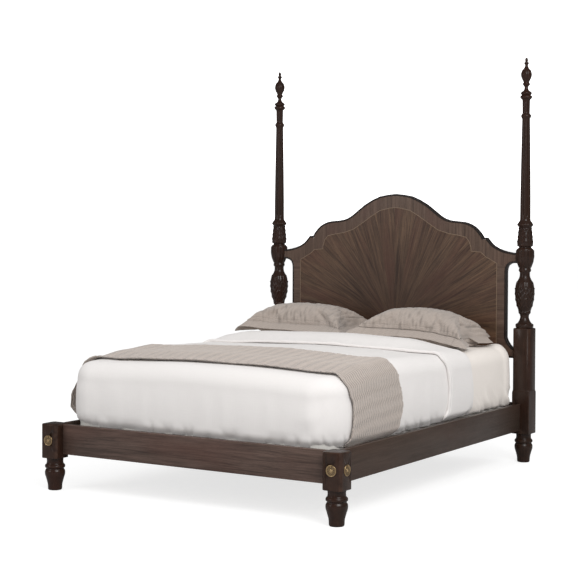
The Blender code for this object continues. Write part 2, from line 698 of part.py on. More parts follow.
def add_pillow(name, centre_x, centre_y, base_z):
    """A plump sham with a thin flange, flat underneath where it rests."""
    bm = bmesh.new()
    bmesh.ops.create_cube(bm, size=2.0)
    bmesh.ops.subdivide_edges(bm, edges=bm.edges[:], cuts=7, use_grid_fill=True)
    flange_half = FLANGE_THICK / 2
    for vert in bm.verts:
        u, v, w = vert.co
        swell = max(0.0, (1 - abs(u) ** 3.5) * (1 - abs(v) ** 3.0)) ** 0.6
        up = (PILLOW_THICK - FLANGE_HEIGHT) * swell + flange_half
        down = FLANGE_HEIGHT * min(1.0, 2.2 * swell)
        z = FLANGE_HEIGHT + (up * w if w > 0 else down * w)
        vert.co = (u * PILLOW_LONG / 2, v * PILLOW_DEEP / 2, z)
    lowest = min(vert.co.z for vert in bm.verts)
    bmesh.ops.translate(bm, verts=bm.verts, vec=(0, 0, -lowest))
    add_object(name, bm, TAUPE, (centre_x, centre_y, base_z + FIT), smooth=True)


def main():
    """Build every solid from the posts inwards."""
    clear_scene()
    blocks = add_post_blocks()
    cups = add_tall_turnings(blocks)
    rails = add_rails(blocks)
    add_bolts(blocks, rails)
    add_headboard(blocks, cups)
    add_support()
    sheet_top = add_bedding()
    for side, centre_x, centre_y in PILLOW_CENTRES:
        add_pillow(f"pillow_{side}", centre_x, centre_y, sheet_top)


main()
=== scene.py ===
"""The looks of a queen bed with two tall carved head posts, a shaped veneered headboard and its bedding.

Metres, +Z up, the head at +Y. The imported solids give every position; each class below builds one
sub-assembly around them, dresses it in its finishes and hangs it on the body it moves with.
"""

import json
import logging
import math
from dataclasses import dataclass, replace
from enum import Enum
from typing import Callable, Iterable, Sequence

import bmesh
import bpy
from mathutils import Euler, Matrix, Vector, noise


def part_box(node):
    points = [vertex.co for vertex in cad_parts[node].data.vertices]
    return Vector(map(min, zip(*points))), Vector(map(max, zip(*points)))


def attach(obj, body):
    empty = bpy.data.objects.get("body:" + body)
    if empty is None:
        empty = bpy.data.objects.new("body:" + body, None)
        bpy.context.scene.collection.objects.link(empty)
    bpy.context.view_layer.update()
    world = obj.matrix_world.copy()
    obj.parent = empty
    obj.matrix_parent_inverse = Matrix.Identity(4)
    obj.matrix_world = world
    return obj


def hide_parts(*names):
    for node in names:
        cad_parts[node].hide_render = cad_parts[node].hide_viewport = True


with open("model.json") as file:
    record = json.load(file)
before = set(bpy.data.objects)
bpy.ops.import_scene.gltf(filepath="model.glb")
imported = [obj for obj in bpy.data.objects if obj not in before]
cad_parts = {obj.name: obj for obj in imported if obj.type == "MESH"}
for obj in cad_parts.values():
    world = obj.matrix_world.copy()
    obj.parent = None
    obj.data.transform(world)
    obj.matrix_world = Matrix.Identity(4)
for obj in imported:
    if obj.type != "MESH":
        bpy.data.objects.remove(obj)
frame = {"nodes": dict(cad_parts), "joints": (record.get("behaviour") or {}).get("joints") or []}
LOG = logging.getLogger("bed")
FRAME_BODY = "bed_frame"
SIDES = ("left", "right")
Colour = tuple[float, float, float]
Place = tuple[float, float, float]
Knots = Sequence[tuple[float, float]]
Sockets = dict[str, bpy.types.NodeSocket]
MERGE = 1e-5  # points closer than this are one point
NEAR = 0.005  # length of the straight run kept at each end of a long side of a profile
QUARTER = math.pi / 2


# ---- small sums ----------------------------------------------------------------------------------
def ease(low: float, high: float, value: float) -> float:
    """Smooth step of value from 0 at low to 1 at high."""
    x = min(max((value - low) / (high - low), 0.0), 1.0)
    return x * x * (3.0 - 2.0 * x)


def between(knots: Knots, at: float) -> float:
    """Value at a place between knots, joined by smooth steps.

    Args:
        knots: Pairs of place and value, in rising order of place.
        at: The place asked for.

    Returns:
        The value there, held level past both ends.
    """
    if at <= knots[0][0]:
        return knots[0][1]
    for (a, low), (b, high) in zip(knots, knots[1:]):
        if at <= b:
            return low + (high - low) * ease(a, b, at)
    return knots[-1][1]


def wander(x: float, y: float, seed: float, scale: float) -> float:
    """Smooth noise from about -1 to 1 at a place of a surface."""
    return noise.noise(Vector((x * scale, y * scale, seed)))


def crease(x: float, y: float, seed: float, scale: float) -> float:
    """Sharp-crested noise from 0 to 1, for folds in cloth."""
    return 1.0 - min(1.0, abs(wander(x, y, seed, scale)) * 3.2)


# ---- shader wiring -------------------------------------------------------------------------------
class Wiring:
    """Short calls that add nodes to one shader tree and link them."""

    def __init__(self, tree: bpy.types.NodeTree) -> None:
        """Keeps the tree that the calls add to."""
        self.tree = tree

    def feed(self, socket: bpy.types.NodeSocket, value: object) -> None:
        """Links a socket to an input, or sets the input to a number, vector or colour."""
        if isinstance(value, bpy.types.NodeSocket):
            self.tree.links.new(value, socket)
        elif socket.type == "RGBA" and len(value) == 3:
            socket.default_value = (*value, 1.0)
        else:
            socket.default_value = value

    def node(self, kind: str, inputs: dict | None = None, **settings: object) -> bpy.types.Node:
        """Adds a shader node.

        Args:
            kind: The node's type name without its ShaderNode prefix.
            inputs: Values or sockets for its inputs, by name or number.
            **settings: Properties of the node.

        Returns:
            The new node.
        """
        made = self.tree.nodes.new("ShaderNode" + kind)
        for name, value in settings.items():
            setattr(made, name, value)
        for key, value in (inputs or {}).items():
            self.feed(made.inputs[key], value)
        return made

    def math(self, operation: str, a: object, b: object = 0.0, clamp: bool = False) -> bpy.types.NodeSocket:
        """Adds one sum of two numbers and returns its result."""
        return self.node("Math", {0: a, 1: b}, operation=operation, use_clamp=clamp).outputs[0]

    def scaled(self, vector: object, by: Sequence[float]) -> bpy.types.NodeSocket:
        """Stretches a vector by three numbers."""
        return self.node("VectorMath", {0: vector, 1: tuple(by)}, operation="MULTIPLY").outputs[0]

    def noise(self, vector: object, detail: float = 3.0, rough: float = 0.55) -> bpy.types.NodeSocket:
        """Adds noise of unit scale and returns its value from 0 to 1."""
        made = self.node("TexNoise", {"Vector": vector, "Scale": 1.0, "Detail": detail, "Roughness": rough})
        return made.outputs["Fac"]

    def span(self, value: object, low: float, high: float, to_low: float = 0.0, to_high: float = 1.0,
             ) -> bpy.types.NodeSocket:
        """Maps a range of values to another one, held at both ends."""
        made = self.node("MapRange", {0: value, 1: low, 2: high, 3: to_low, 4: to_high}, clamp=True)
        return made.outputs[0]

    def blend(self, factor: object, a: object, b: object, how: str = "MIX") -> bpy.types.NodeSocket:
        """Mixes two colours."""
        made = self.node("Mix", {0: factor, 6: a, 7: b}, data_type="RGBA", blend_type=how)
        return made.outputs[2]


def make_group(name: str, inputs: dict[str, tuple[str, object]], outputs: dict[str, str],
               wire: Callable[[Wiring, bpy.types.NodeOutputs], Sockets]) -> bpy.types.NodeTree:
    """Builds a shader node group.

    Args:
        name: The group's name.
        inputs: Kind and first value of each input, by name.
        outputs: Kind of each output, by name.
        wire: Adds the inner nodes and returns a socket for each output.

    Returns:
        The group's tree.
    """
    tree = bpy.data.node_groups.new(name, "ShaderNodeTree")
    for label, (kind, value) in inputs.items():
        made = tree.interface.new_socket(label, in_out="INPUT", socket_type="NodeSocket" + kind)
        made.default_value = (*value, 1.0) if kind == "Color" else value
    for label, kind in outputs.items():
        tree.interface.new_socket(label, in_out="OUTPUT", socket_type="NodeSocket" + kind)
    entry, leave = tree.nodes.new("NodeGroupInput"), tree.nodes.new("NodeGroupOutput")
    for label, socket in wire(Wiring(tree), entry.outputs).items():
        tree.links.new(socket, leave.inputs[label])
    return tree


def wire_grain(w: Wiring, given: bpy.types.NodeOutputs) -> Sockets:
    """Wood grain that runs along the vector's first axis."""
    sway = w.noise(w.scaled(given["Vector"], (1.3, 5.0, 5.0)), 2.0)
    drift = w.math("MULTIPLY", w.math("SUBTRACT", sway, 0.5), given["Sway"])
    aside = w.node("CombineXYZ", {1: drift, 2: drift}).outputs[0]
    place = w.node("VectorMath", {0: given["Vector"], 1: aside}, operation="ADD").outputs[0]
    bands = w.noise(w.scaled(place, (2.2, 48.0, 48.0)), 5.0, 0.68)
    fine = w.noise(w.scaled(place, (6.0, 230.0, 230.0)), 3.0, 0.6)
    pores = w.span(w.noise(w.scaled(place, (45.0, 950.0, 950.0)), 1.0), 0.56, 0.70)
    cloud = w.noise(w.scaled(given["Vector"], (1.7, 6.0, 6.0)), 2.0)
    mixed = w.math("ADD", w.math("MULTIPLY", bands, 0.6), w.math("MULTIPLY", fine, 0.4))
    lifted = w.math("MULTIPLY", w.math("SUBTRACT", mixed, 0.5), given["Figure"])
    tone = w.math("ADD", w.math("MULTIPLY", lifted, 3.0), 0.5, clamp=True)
    colour = w.blend(tone, given["Dark"], given["Light"])
    colour = w.blend(w.span(cloud, 0.46, 0.72, 0.0, 0.6), colour, given["Red"])
    colour = w.blend(w.math("MULTIPLY", pores, 0.45), colour, given["Dark"])
    height = w.math("SUBTRACT", w.math("MULTIPLY", tone, 0.35), w.math("MULTIPLY", pores, 0.65))
    return {"Color": colour, "Tone": tone, "Height": height}


def wire_relief(w: Wiring, given: bpy.types.NodeOutputs) -> Sockets:
    """Masks for the rubbed edges of a piece, and for the crests and hollows of a carved one."""
    turn = w.node("NewGeometry").outputs["Pointiness"]
    rubbed = w.node("Attribute", attribute_name=RUBBED).outputs["Fac"]
    patchy = w.span(w.noise(w.scaled(given["Vector"], (28.0, 28.0, 28.0)), 3.0), 0.35, 0.65)
    crest = w.math("MULTIPLY", w.span(turn, 0.515, 0.60), given["Carved"])
    return {"Edge": w.math("MULTIPLY", w.math("MAXIMUM", crest, rubbed), patchy),
            "Hollow": w.math("MULTIPLY", w.span(turn, 0.495, 0.42), given["Carved"])}


def wire_weave(w: Wiring, given: bpy.types.NodeOutputs) -> Sockets:
    """Plain weave of crossing threads, with slubs along both directions."""
    parts = w.node("SeparateXYZ", {0: given["Vector"]}).outputs
    waves = [w.math("SINE", w.math("MULTIPLY", part, given["Threads"])) for part in (parts[0], parts[1])]
    cross = w.math("MULTIPLY", waves[0], waves[1])
    slubs = [w.noise(w.scaled(given["Vector"], by), 2.0) for by in ((12.0, 700.0, 30.0), (700.0, 12.0, 30.0))]
    slub = w.math("MULTIPLY", w.math("ADD", *slubs), 0.5)
    height = w.math("ADD", w.math("MULTIPLY", cross, 0.5), slub)
    return {"Height": height, "Slub": w.span(slub, 0.38, 0.62)}


def wire_quilting(w: Wiring, given: bpy.types.NodeOutputs) -> Sockets:
    """Fine quilted channels that ripple along the first axis, and a painted shade mask for their grooves."""
    parts = w.node("SeparateXYZ", {0: given["Vector"]}).outputs
    sway = w.math("MULTIPLY", w.math("SINE", w.math("MULTIPLY", parts[0], given["Wave"])), given["Sway"])
    rows = w.math("SINE", w.math("ADD", w.math("MULTIPLY", parts[1], given["Rows"]), sway))
    puff = w.noise(w.scaled(given["Vector"], (85.0, 85.0, 85.0)), 2.0)
    height = w.math("ADD", rows, w.math("MULTIPLY", puff, 0.6))
    # Groove is painted shade: it is 1 in the troughs of the rows, where the channels dip.
    return {"Height": height, "Groove": w.span(rows, -0.1, -0.9)}


def wire_dust(w: Wiring, given: bpy.types.NodeOutputs) -> Sockets:
    """Soft uneven marks that dull a surface a little."""
    broad = w.noise(w.scaled(given["Vector"], (7.0, 7.0, 7.0)), 3.0)
    close = w.noise(w.scaled(given["Vector"], (90.0, 90.0, 90.0)), 3.0)
    return {"Mask": w.math("MULTIPLY", w.span(broad, 0.4, 0.7), w.span(close, 0.35, 0.7))}


SURFACE_MAP = "Surface"
RUBBED = "rubbed"
# Mask named dip: painted shade in the shams' stitch lines and crinkle hollows, and real patina in the brass
# covers' recessed field.
DIP = "dip"
VECTOR = ("Vector", (0.0, 0.0, 0.0))
GRAIN = make_group(
    "Wood grain",
    {"Vector": VECTOR, "Dark": ("Color", (0.0, 0.0, 0.0)), "Light": ("Color", (1.0, 1.0, 1.0)),
     "Red": ("Color", (1.0, 0.0, 0.0)), "Figure": ("Float", 1.0), "Sway": ("Float", 0.03)},
    {"Color": "Color", "Tone": "Float", "Height": "Float"}, wire_grain)
RELIEF = make_group("Edge and hollow", {"Vector": VECTOR, "Carved": ("Float", 1.0)},
                    {"Edge": "Float", "Hollow": "Float"}, wire_relief)
WEAVE = make_group("Plain weave", {"Vector": VECTOR, "Threads": ("Float", 6000.0)},
                   {"Height": "Float", "Slub": "Float"}, wire_weave)
QUILTING = make_group(
    "Quilting",
    {"Vector": VECTOR, "Rows": ("Float", 500.0), "Wave": ("Float", 140.0), "Sway": ("Float", 1.7)},
    {"Height": "Float", "Groove": "Float"}, wire_quilting)
DUST = make_group("Dust", {"Vector": VECTOR}, {"Mask": "Float"}, wire_dust)


class Run(Enum):
    """What a pattern follows: an axis of the piece, or the piece's own map."""

    ALONG_X = (0.0, 0.0, 0.0)
    ALONG_Y = (0.0, 0.0, -QUARTER)
    ALONG_Z = (0.0, QUARTER, 0.0)
    MAPPED = None


Start = tuple[bpy.types.Material, Wiring, bpy.types.Node, bpy.types.NodeSocket]


def start_material(name: str, run: Run) -> Start:
    """Starts a material and its pattern coordinates.

    Args:
        name: The material's name.
        run: What its pattern follows.

    Returns:
        The material, its wiring, its Principled shader, and the coordinates in metres.
    """
    material = bpy.data.materials.new(name)
    material.use_nodes = True
    wiring = Wiring(material.node_tree)
    shader = material.node_tree.nodes["Principled BSDF"]
    if run is Run.MAPPED:
        return material, wiring, shader, wiring.node("UVMap", uv_map=SURFACE_MAP).outputs[0]
    place = wiring.node("TexCoord").outputs["Object"]
    turned = wiring.node("Mapping", {"Vector": place, "Rotation": run.value}).outputs[0]
    return material, wiring, shader, turned


@dataclass(frozen=True)
class Wood:
    """A lacquered or bare timber.

    Below a given distance along the grain it is painted darker, a painted shade for the shadow that the
    pillows cast low on the headboard; glaze is how dark its carved hollows are.
    """

    name: str
    slot: str
    dark: Colour
    light: Colour
    red: Colour
    run: Run = Run.ALONG_Z
    figure: float = 1.0
    sway: float = 0.03
    roughness: float = 0.36
    coat: float = 0.08
    specular: float = 0.35
    # Distance along the grain below which painted shade darkens the wood; 0 paints none.
    shade_reach: float = 0.0
    glaze: float = 0.0
    bump: float = 0.25

    def make(self) -> bpy.types.Material:
        """Builds the material."""
        material, w, shader, place = start_material(self.name, self.run)
        grain = w.node("Group", {"Vector": place, "Dark": self.dark, "Light": self.light, "Red": self.red,
                                 "Figure": self.figure, "Sway": self.sway}, node_tree=GRAIN)
        relief = w.node("Group", {"Vector": place, "Carved": 1.0 if self.glaze else 0.0}, node_tree=RELIEF)
        dust = w.node("Group", {"Vector": place}, node_tree=DUST)
        worn = w.blend(w.math("MULTIPLY", relief.outputs["Edge"], 0.55), grain.outputs["Color"],
                       tuple(min(1.0, 1.9 * part) for part in self.light))
        glazed_and_shaded = w.blend(w.math("MULTIPLY", relief.outputs["Hollow"], self.glaze), worn,
                          tuple(0.25 * part for part in self.dark))
        # Painted shade: nearer the start of the grain than the given distance, the colour mixes towards the
        # dark tone, standing in for the pillows' shadow on the lower headboard.
        if self.shade_reach:
            along = w.node("SeparateXYZ", {0: place}).outputs[0]
            glazed_and_shaded = w.blend(w.span(along, self.shade_reach, 0.15, 0.0, 0.55), glazed_and_shaded, self.dark)
        w.feed(shader.inputs["Base Color"], glazed_and_shaded)
        rough = w.math("ADD", w.math("MULTIPLY", grain.outputs["Tone"], -0.08), self.roughness + 0.04)
        dusty = w.math("MULTIPLY", dust.outputs["Mask"], 0.14)
        w.feed(shader.inputs["Roughness"], w.math("ADD", rough, dusty))
        bump = w.node("Bump", {"Strength": self.bump, "Distance": 0.0006, "Height": grain.outputs["Height"]})
        w.feed(shader.inputs["Normal"], bump.outputs[0])
        shader.inputs["Specular IOR Level"].default_value = self.specular
        shader.inputs["Coat Weight"].default_value = self.coat
        shader.inputs["Coat Roughness"].default_value = 0.14
        return material


@dataclass(frozen=True)
class Cloth:
    """A woven fabric, plain or quilted."""

    name: str
    slot: str
    colour: Colour
    threads: float = 5200.0
    slub: float = 0.10
    bump: float = 0.25
    quilted: float = 0.0
    rows: float = 500.0
    wave: float = 140.0
    sway: float = 1.7
    run: Run = Run.MAPPED
    sheen: float = 0.12

    def make(self) -> bpy.types.Material:
        """Builds the material."""
        material, w, shader, place = start_material(self.name, self.run)
        weave = w.node("Group", {"Vector": place, "Threads": self.threads}, node_tree=WEAVE)
        quilt = w.node("Group", {"Vector": place, "Rows": self.rows, "Wave": self.wave, "Sway": self.sway},
                       node_tree=QUILTING)
        dust = w.node("Group", {"Vector": place}, node_tree=DUST)
        deeper = tuple(part * (1.0 - 2.0 * self.slub) for part in self.colour)
        colour = w.blend(w.math("MULTIPLY", weave.outputs["Slub"], 0.7), self.colour, deeper)
        colour = w.blend(w.math("MULTIPLY", dust.outputs["Mask"], self.slub), colour, deeper)
        # Painted shade: the troughs of the quilting are mixed towards half the deeper colour.
        groove = w.math("MULTIPLY", quilt.outputs["Groove"], 0.75 * self.quilted)
        # The dip mask is painted shade here, darkening the shams' stitch lines and crinkle hollows.
        dip = w.math("MULTIPLY", w.node("Attribute", attribute_name=DIP).outputs["Fac"], 0.6)
        colour = w.blend(w.math("MAXIMUM", groove, dip), colour, tuple(0.5 * part for part in deeper))
        w.feed(shader.inputs["Base Color"], colour)
        dusty = w.math("MULTIPLY", dust.outputs["Mask"], 0.06)
        w.feed(shader.inputs["Roughness"], w.math("ADD", dusty, 0.86))
        height = w.math("ADD", w.math("MULTIPLY", weave.outputs["Height"], 0.25),
                        w.math("MULTIPLY", quilt.outputs["Height"], self.quilted))
        bump = w.node("Bump", {"Strength": self.bump, "Distance": 0.0012, "Height": height})
        w.feed(shader.inputs["Normal"], bump.outputs[0])
        shader.inputs["Sheen Weight"].default_value = self.sheen
        shader.inputs["Sheen Roughness"].default_value = 0.5
        return material


@dataclass(frozen=True)
class Metal:
    """A metal with a darker patina in its hollows."""

    name: str
    slot: str
    colour: Colour
    patina: Colour
    roughness: float = 0.34

    def make(self) -> bpy.types.Material:
        """Builds the material."""
        material, w, shader, place = start_material(self.name, Run.ALONG_X)
        relief = w.node("Group", {"Vector": place}, node_tree=RELIEF)
        dust = w.node("Group", {"Vector": place}, node_tree=DUST)
        tarnish = w.span(w.noise(w.scaled(place, (160.0, 160.0, 160.0)), 4.0), 0.40, 0.72)
        worn = w.math("MAXIMUM", relief.outputs["Hollow"], w.math("MULTIPLY", tarnish, 0.5))
        cover = w.math("MAXIMUM", worn, w.node("Attribute", attribute_name=DIP).outputs["Fac"])
        w.feed(shader.inputs["Base Color"], w.blend(cover, self.colour, self.patina))
        rough = w.math("ADD", w.math("MULTIPLY", cover, 0.26), self.roughness)
        dusty = w.math("MULTIPLY", dust.outputs["Mask"], 0.1)
        w.feed(shader.inputs["Roughness"], w.math("ADD", rough, dusty))
        w.feed(shader.inputs["Metallic"], w.math("SUBTRACT", 1.0, w.math("MULTIPLY", cover, 0.35)))
        bump = w.node("Bump", {"Strength": 0.2, "Distance": 0.0004, "Height": tarnish})
        w.feed(shader.inputs["Normal"], bump.outputs[0])
        return material


Finish = Wood | Cloth | Metal

THROW_ROWS, THROW_WAVE, THROW_SWAY = 2.0 * math.pi / 0.0165, 2.0 * math.pi / 0.062, 2.2
POST_WALNUT = Wood("Dark walnut, turned", "walnut", (0.012, 0.0058, 0.0038), (0.041, 0.0205, 0.0130),
                   (0.038, 0.0125, 0.0075), figure=0.8, glaze=0.85, roughness=0.30, coat=0.22, specular=0.20)
# The front and head rails take a lighter copy of the walnut and the side rails a darker one: the same wood,
# with painted light on the front and painted shade on the sides.
RAIL_WALNUT_LIT_X = Wood("Dark walnut, across", "walnut", (0.038, 0.024, 0.019), (0.145, 0.094, 0.076),
                     (0.090, 0.040, 0.030), run=Run.ALONG_X, figure=1.1, coat=0.10, specular=0.25)
RAIL_WALNUT_SHADED_Y = Wood("Dark walnut, along", "walnut", (0.034, 0.0215, 0.0155), (0.078, 0.052, 0.040),
                     (0.062, 0.034, 0.024), run=Run.ALONG_Y, figure=0.8, coat=0.10, specular=0.25)
MOULDING_WALNUT = Wood("Ebonised edge", "walnut", (0.006, 0.004, 0.0035), (0.018, 0.011, 0.009),
                       (0.014, 0.007, 0.005), run=Run.ALONG_X, figure=0.6, roughness=0.34)
BOARD_BACK = Wood("Board back", "headboard_veneer", (0.022, 0.014, 0.011), (0.060, 0.038, 0.029),
                  (0.045, 0.020, 0.014), figure=0.9)
# The sunburst is painted darker towards its hub, a painted shade for the pillows' shadow low on the
# headboard.
SUNBURST_VENEER = Wood("Sunburst veneer", "headboard_veneer", (0.030, 0.0140, 0.0085), (0.138, 0.078, 0.045),
                       (0.085, 0.030, 0.020), run=Run.MAPPED, figure=1.3, sway=0.012, roughness=0.38,
                       shade_reach=0.62)
BORDER_VENEER = Wood("Cross-banded veneer", "headboard_veneer", (0.048, 0.026, 0.017), (0.140, 0.088, 0.062),
                     (0.090, 0.044, 0.032), run=Run.MAPPED, figure=1.2, sway=0.01, roughness=0.38)
INLAY_WOOD = Wood("Boxwood line", "headboard_veneer", (0.17, 0.115, 0.075), (0.27, 0.19, 0.125),
                  (0.20, 0.13, 0.08), run=Run.ALONG_X, figure=0.5)
PINE_X = Wood("Pine, across", "slat_pine", (0.42, 0.29, 0.17), (0.60, 0.45, 0.29), (0.50, 0.33, 0.19),
              run=Run.ALONG_X, figure=0.8, roughness=0.62, coat=0.0)
PINE_Y = replace(PINE_X, name="Pine, along", run=Run.ALONG_Y)
PINE_Z = replace(PINE_X, name="Pine, upright", run=Run.ALONG_Z)
BRASS = Metal("Antique brass", "antique_brass", (0.62, 0.44, 0.24), (0.090, 0.060, 0.034), 0.30)
STEEL = Metal("Zinc steel", "zinc_steel", (0.52, 0.52, 0.50), (0.25, 0.25, 0.24), 0.38)
TICKING = Cloth("Ticking", "ticking", (0.66, 0.64, 0.60), threads=3800.0, run=Run.ALONG_X)
CREAM_SHEET = Cloth("Cream percale", "cream_sheet", (0.85, 0.790, 0.735), slub=0.03)
WHITE_COTTON = Cloth("White cotton", "white_cotton", (0.79, 0.760, 0.742), slub=0.025)
TAUPE_THROW = Cloth("Taupe matelasse", "taupe_quilt", (0.505, 0.437, 0.390), threads=2600.0, slub=0.11,
                    bump=0.6, quilted=1.0, rows=THROW_ROWS, wave=THROW_WAVE, sway=THROW_SWAY, sheen=0.35)
TAUPE_SHAM = Cloth("Taupe linen", "taupe_quilt", (0.440, 0.375, 0.330), threads=2600.0, slub=0.11,
                   bump=0.5, quilted=0.35, rows=520.0, wave=150.0, sway=1.6, sheen=0.25)

_made: dict[str, bpy.types.Material] = {}


def material_of(finish: Finish) -> bpy.types.Material:
    """The finish's material, built the first time it is asked for."""
    if finish.name not in _made:
        _made[finish.name] = finish.make()
    return _made[finish.name]


# ---- mesh work -----------------------------------------------------------------------------------
def mesh_from(name: str, bm: bmesh.types.BMesh) -> bpy.types.Mesh:
    """A new mesh from a bmesh, which is freed."""
    mesh = bpy.data.meshes.new(name)
    bm.to_mesh(mesh)
    bm.free()
    return mesh


def place_in_scene(name: str, data: bpy.types.ID) -> bpy.types.Object:
    """A new object in the scene for a mesh, a light or a camera."""
    made = bpy.data.objects.new(name, data)
    bpy.context.scene.collection.objects.link(made)
    return made


def doubled(bm: bmesh.types.BMesh) -> list[bmesh.types.BMVert]:
    """Adds a second layer to an open surface, joined round its rim, and returns the new points."""
    made = bmesh.ops.extrude_face_region(bm, geom=bm.faces[:], use_keep_orig=True)
    return [item for item in made["geom"] if isinstance(item, bmesh.types.BMVert)]


def slice_through(bm: bmesh.types.BMesh, at: Sequence[float], facing: Sequence[float],
                  clear: bool = False) -> None:
    """Cuts every face along a plane, and clears what lies behind it if asked."""
    bmesh.ops.bisect_plane(bm, geom=bm.verts[:] + bm.edges[:] + bm.faces[:], dist=MERGE, plane_co=at,
                           plane_no=facing, clear_inner=clear)


def spun(profile: Iterable[tuple[float, float]], axis: Vector, steps: int) -> bmesh.types.BMesh:
    """A closed solid turned on an upright axis.

    Args:
        profile: Radius and height of each point, from the bottom up.
        axis: The axis's place.
        steps: Faces round the solid.

    Returns:
        The solid.
    """
    bm = bmesh.new()
    chain = [bm.verts.new((axis.x + radius, axis.y, height)) for radius, height in profile]
    edges = [bm.edges.new(pair) for pair in zip(chain, chain[1:])]
    bmesh.ops.spin(bm, geom=chain + edges, cent=(*axis, 0.0), axis=(0.0, 0.0, 1.0), angle=2.0 * math.pi,
                   steps=steps, use_merge=True, use_duplicate=False)
    bmesh.ops.remove_doubles(bm, verts=bm.verts, dist=MERGE)
    bmesh.ops.recalc_face_normals(bm, faces=bm.faces)
    return bm


def make_piece(name: str, bm: bmesh.types.BMesh, finish: Finish, *, replaces: Iterable[str] = (),
               body: str = FRAME_BODY, crisp: float = 40.0) -> bpy.types.Object:
    """Turns a bmesh into a finished piece that rides on a body.

    Args:
        name: The piece's name.
        bm: Its shape, in place; freed here.
        finish: Its finish.
        replaces: The solids that it stands for.
        body: The body that it moves with.
        crisp: Edges sharper than this many degrees stay sharp.

    Returns:
        The piece's object.
    """
    mesh = mesh_from(name, bm)
    mesh.materials.append(material_of(finish))
    mesh.shade_smooth()
    mesh.set_sharp_from_angle(angle=math.radians(crisp))
    piece = place_in_scene(name, mesh)
    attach(piece, body)
    if replaces:
        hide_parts(*replaces)
    LOG.info("%s: %d faces, %s", name, len(mesh.polygons), finish.name)
    return piece


def solid_copy(node: str) -> bmesh.types.BMesh:
    """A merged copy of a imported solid, with its flat faces whole."""
    bm = bmesh.new()
    bm.from_mesh(frame["nodes"][node].data)
    bmesh.ops.remove_doubles(bm, verts=bm.verts, dist=MERGE)
    bmesh.ops.dissolve_limit(bm, angle_limit=math.radians(0.5), verts=bm.verts, edges=bm.edges,
                             use_dissolve_boundaries=False)
    return bm


def ease_edges(bm: bmesh.types.BMesh, width: float, segments: int = 2, shortest: float = 0.02,
               sharpest: float = 35.0) -> None:
    """Rounds over the long sharp edges of a solid.

    Args:
        bm: The solid.
        width: How far the rounding reaches from an edge.
        segments: Faces across the rounding.
        shortest: Edges shorter than this are left.
        sharpest: Edges flatter than this many degrees are left.
    """
    found = [edge for edge in bm.edges if edge.is_manifold and edge.is_convex
             and edge.calc_face_angle() > math.radians(sharpest) and edge.calc_length() > shortest]
    rubbed = bm.faces.layers.float.new(RUBBED)
    made = bmesh.ops.bevel(bm, geom=found, offset=width, offset_type="OFFSET", segments=segments, profile=0.5,
                           affect="EDGES", clamp_overlap=True, material=-1)
    for face in made["faces"]:
        face[rubbed] = 1.0


def carry(node: str, finish: Finish, width: float = 0.0012, **settings: float) -> bpy.types.Object:
    """Replaces a solid with its own shape, edges eased, in a finish."""
    bm = solid_copy(node)
    ease_edges(bm, width, **settings)
    return make_piece(node + "_wood", bm, finish, replaces=[node])


def map_surface(bm: bmesh.types.BMesh, place: Callable[[bmesh.types.BMLoop], tuple[float, float]]) -> None:
    """Writes the surface map of a piece, in metres, from each corner of its faces."""
    layer = bm.loops.layers.uv.new(SURFACE_MAP)
    for face in bm.faces:
        for loop in face.loops:
            loop[layer].uv = place(loop)


# ---- turned and carved posts ---------------------------------------------------------------------
def curve_through(points: Knots, step: float) -> list[tuple[float, float]]:
    """A smooth curve through points, at even steps.

    Args:
        points: The points, as height and radius.
        step: Distance between the points returned.

    Returns:
        Points on a centripetal Catmull-Rom curve, with both ends.
    """
    path = [Vector(points[0])]
    for a, b in zip(map(Vector, points), map(Vector, points[1:])):
        if (b - a).length > 5.0 * NEAR:
            path += [a + (b - a).normalized() * NEAR, b - (b - a).normalized() * NEAR]
        path.append(b)
    ends = [2 * path[0] - path[1], *path, 2 * path[-1] - path[-2]]
    found = [tuple(path[0])]
    for a, b, c, d in zip(ends, ends[1:], ends[2:], ends[3:]):
        t1 = (b - a).length ** 0.5
        t2 = t1 + (c - b).length ** 0.5
        t3 = t2 + (d - c).length ** 0.5
        count = max(1, round((c - b).length / step))
        for i in range(1, count + 1):
            t = t1 + (t2 - t1) * i / count
            p1 = a.lerp(b, t / t1)
            p2 = b.lerp(c, (t - t1) / (t2 - t1))
            p3 = c.lerp(d, (t - t2) / (t3 - t2))
            q1 = p1.lerp(p2, t / t2)
            q2 = p2.lerp(p3, (t - t1) / (t3 - t1))
            found.append(tuple(q1.lerp(q2, (t - t1) / (t2 - t1))))
    return found


def reed(across: float, up: float) -> float:
    """Rounded reeds with narrow grooves between them, run out at both ends."""
    round_over = math.sqrt(max(0.0, 1.0 - (2.0 * across) ** 2)) - 1.0
    return round_over * ease(0.0, 0.03, up) * ease(1.0, 0.97, up)


def tongue(across: float, up: float) -> float:
    """Long tongues that hang from the top of the band and end round."""
    half = 0.43 * math.sqrt(max(0.0, 1.0 - (max(0.0, 0.45 - up) / 0.45) ** 2))
    inside = ease(-0.05, 0.03, half - abs(across))
    dome = math.sqrt(max(0.0, 1.0 - (across / 0.5) ** 2))
    rim = math.exp(-((abs(across) - half) / 0.035) ** 2)
    return (0.3 + 0.5 * dome) * inside - 0.55 * rim + 0.1


def leaf(across: float, up: float) -> float:
    """One lobed leaf with a rib and slanting veins."""
    lobes = 1.0 + 0.20 * math.cos(2.0 * math.pi * 4.0 * up)
    half = 0.46 * math.sin(math.pi * min(1.0, 0.06 + 0.93 * up)) ** 0.55 * lobes
    inside = ease(-0.04, 0.05, half - abs(across))
    rib = 0.45 * math.exp(-(across / 0.045) ** 2)
    veins = 0.32 * math.cos(2.0 * math.pi * (4.0 * up - 2.6 * abs(across)))
    return inside * (0.55 + rib + veins + 0.25 * up)


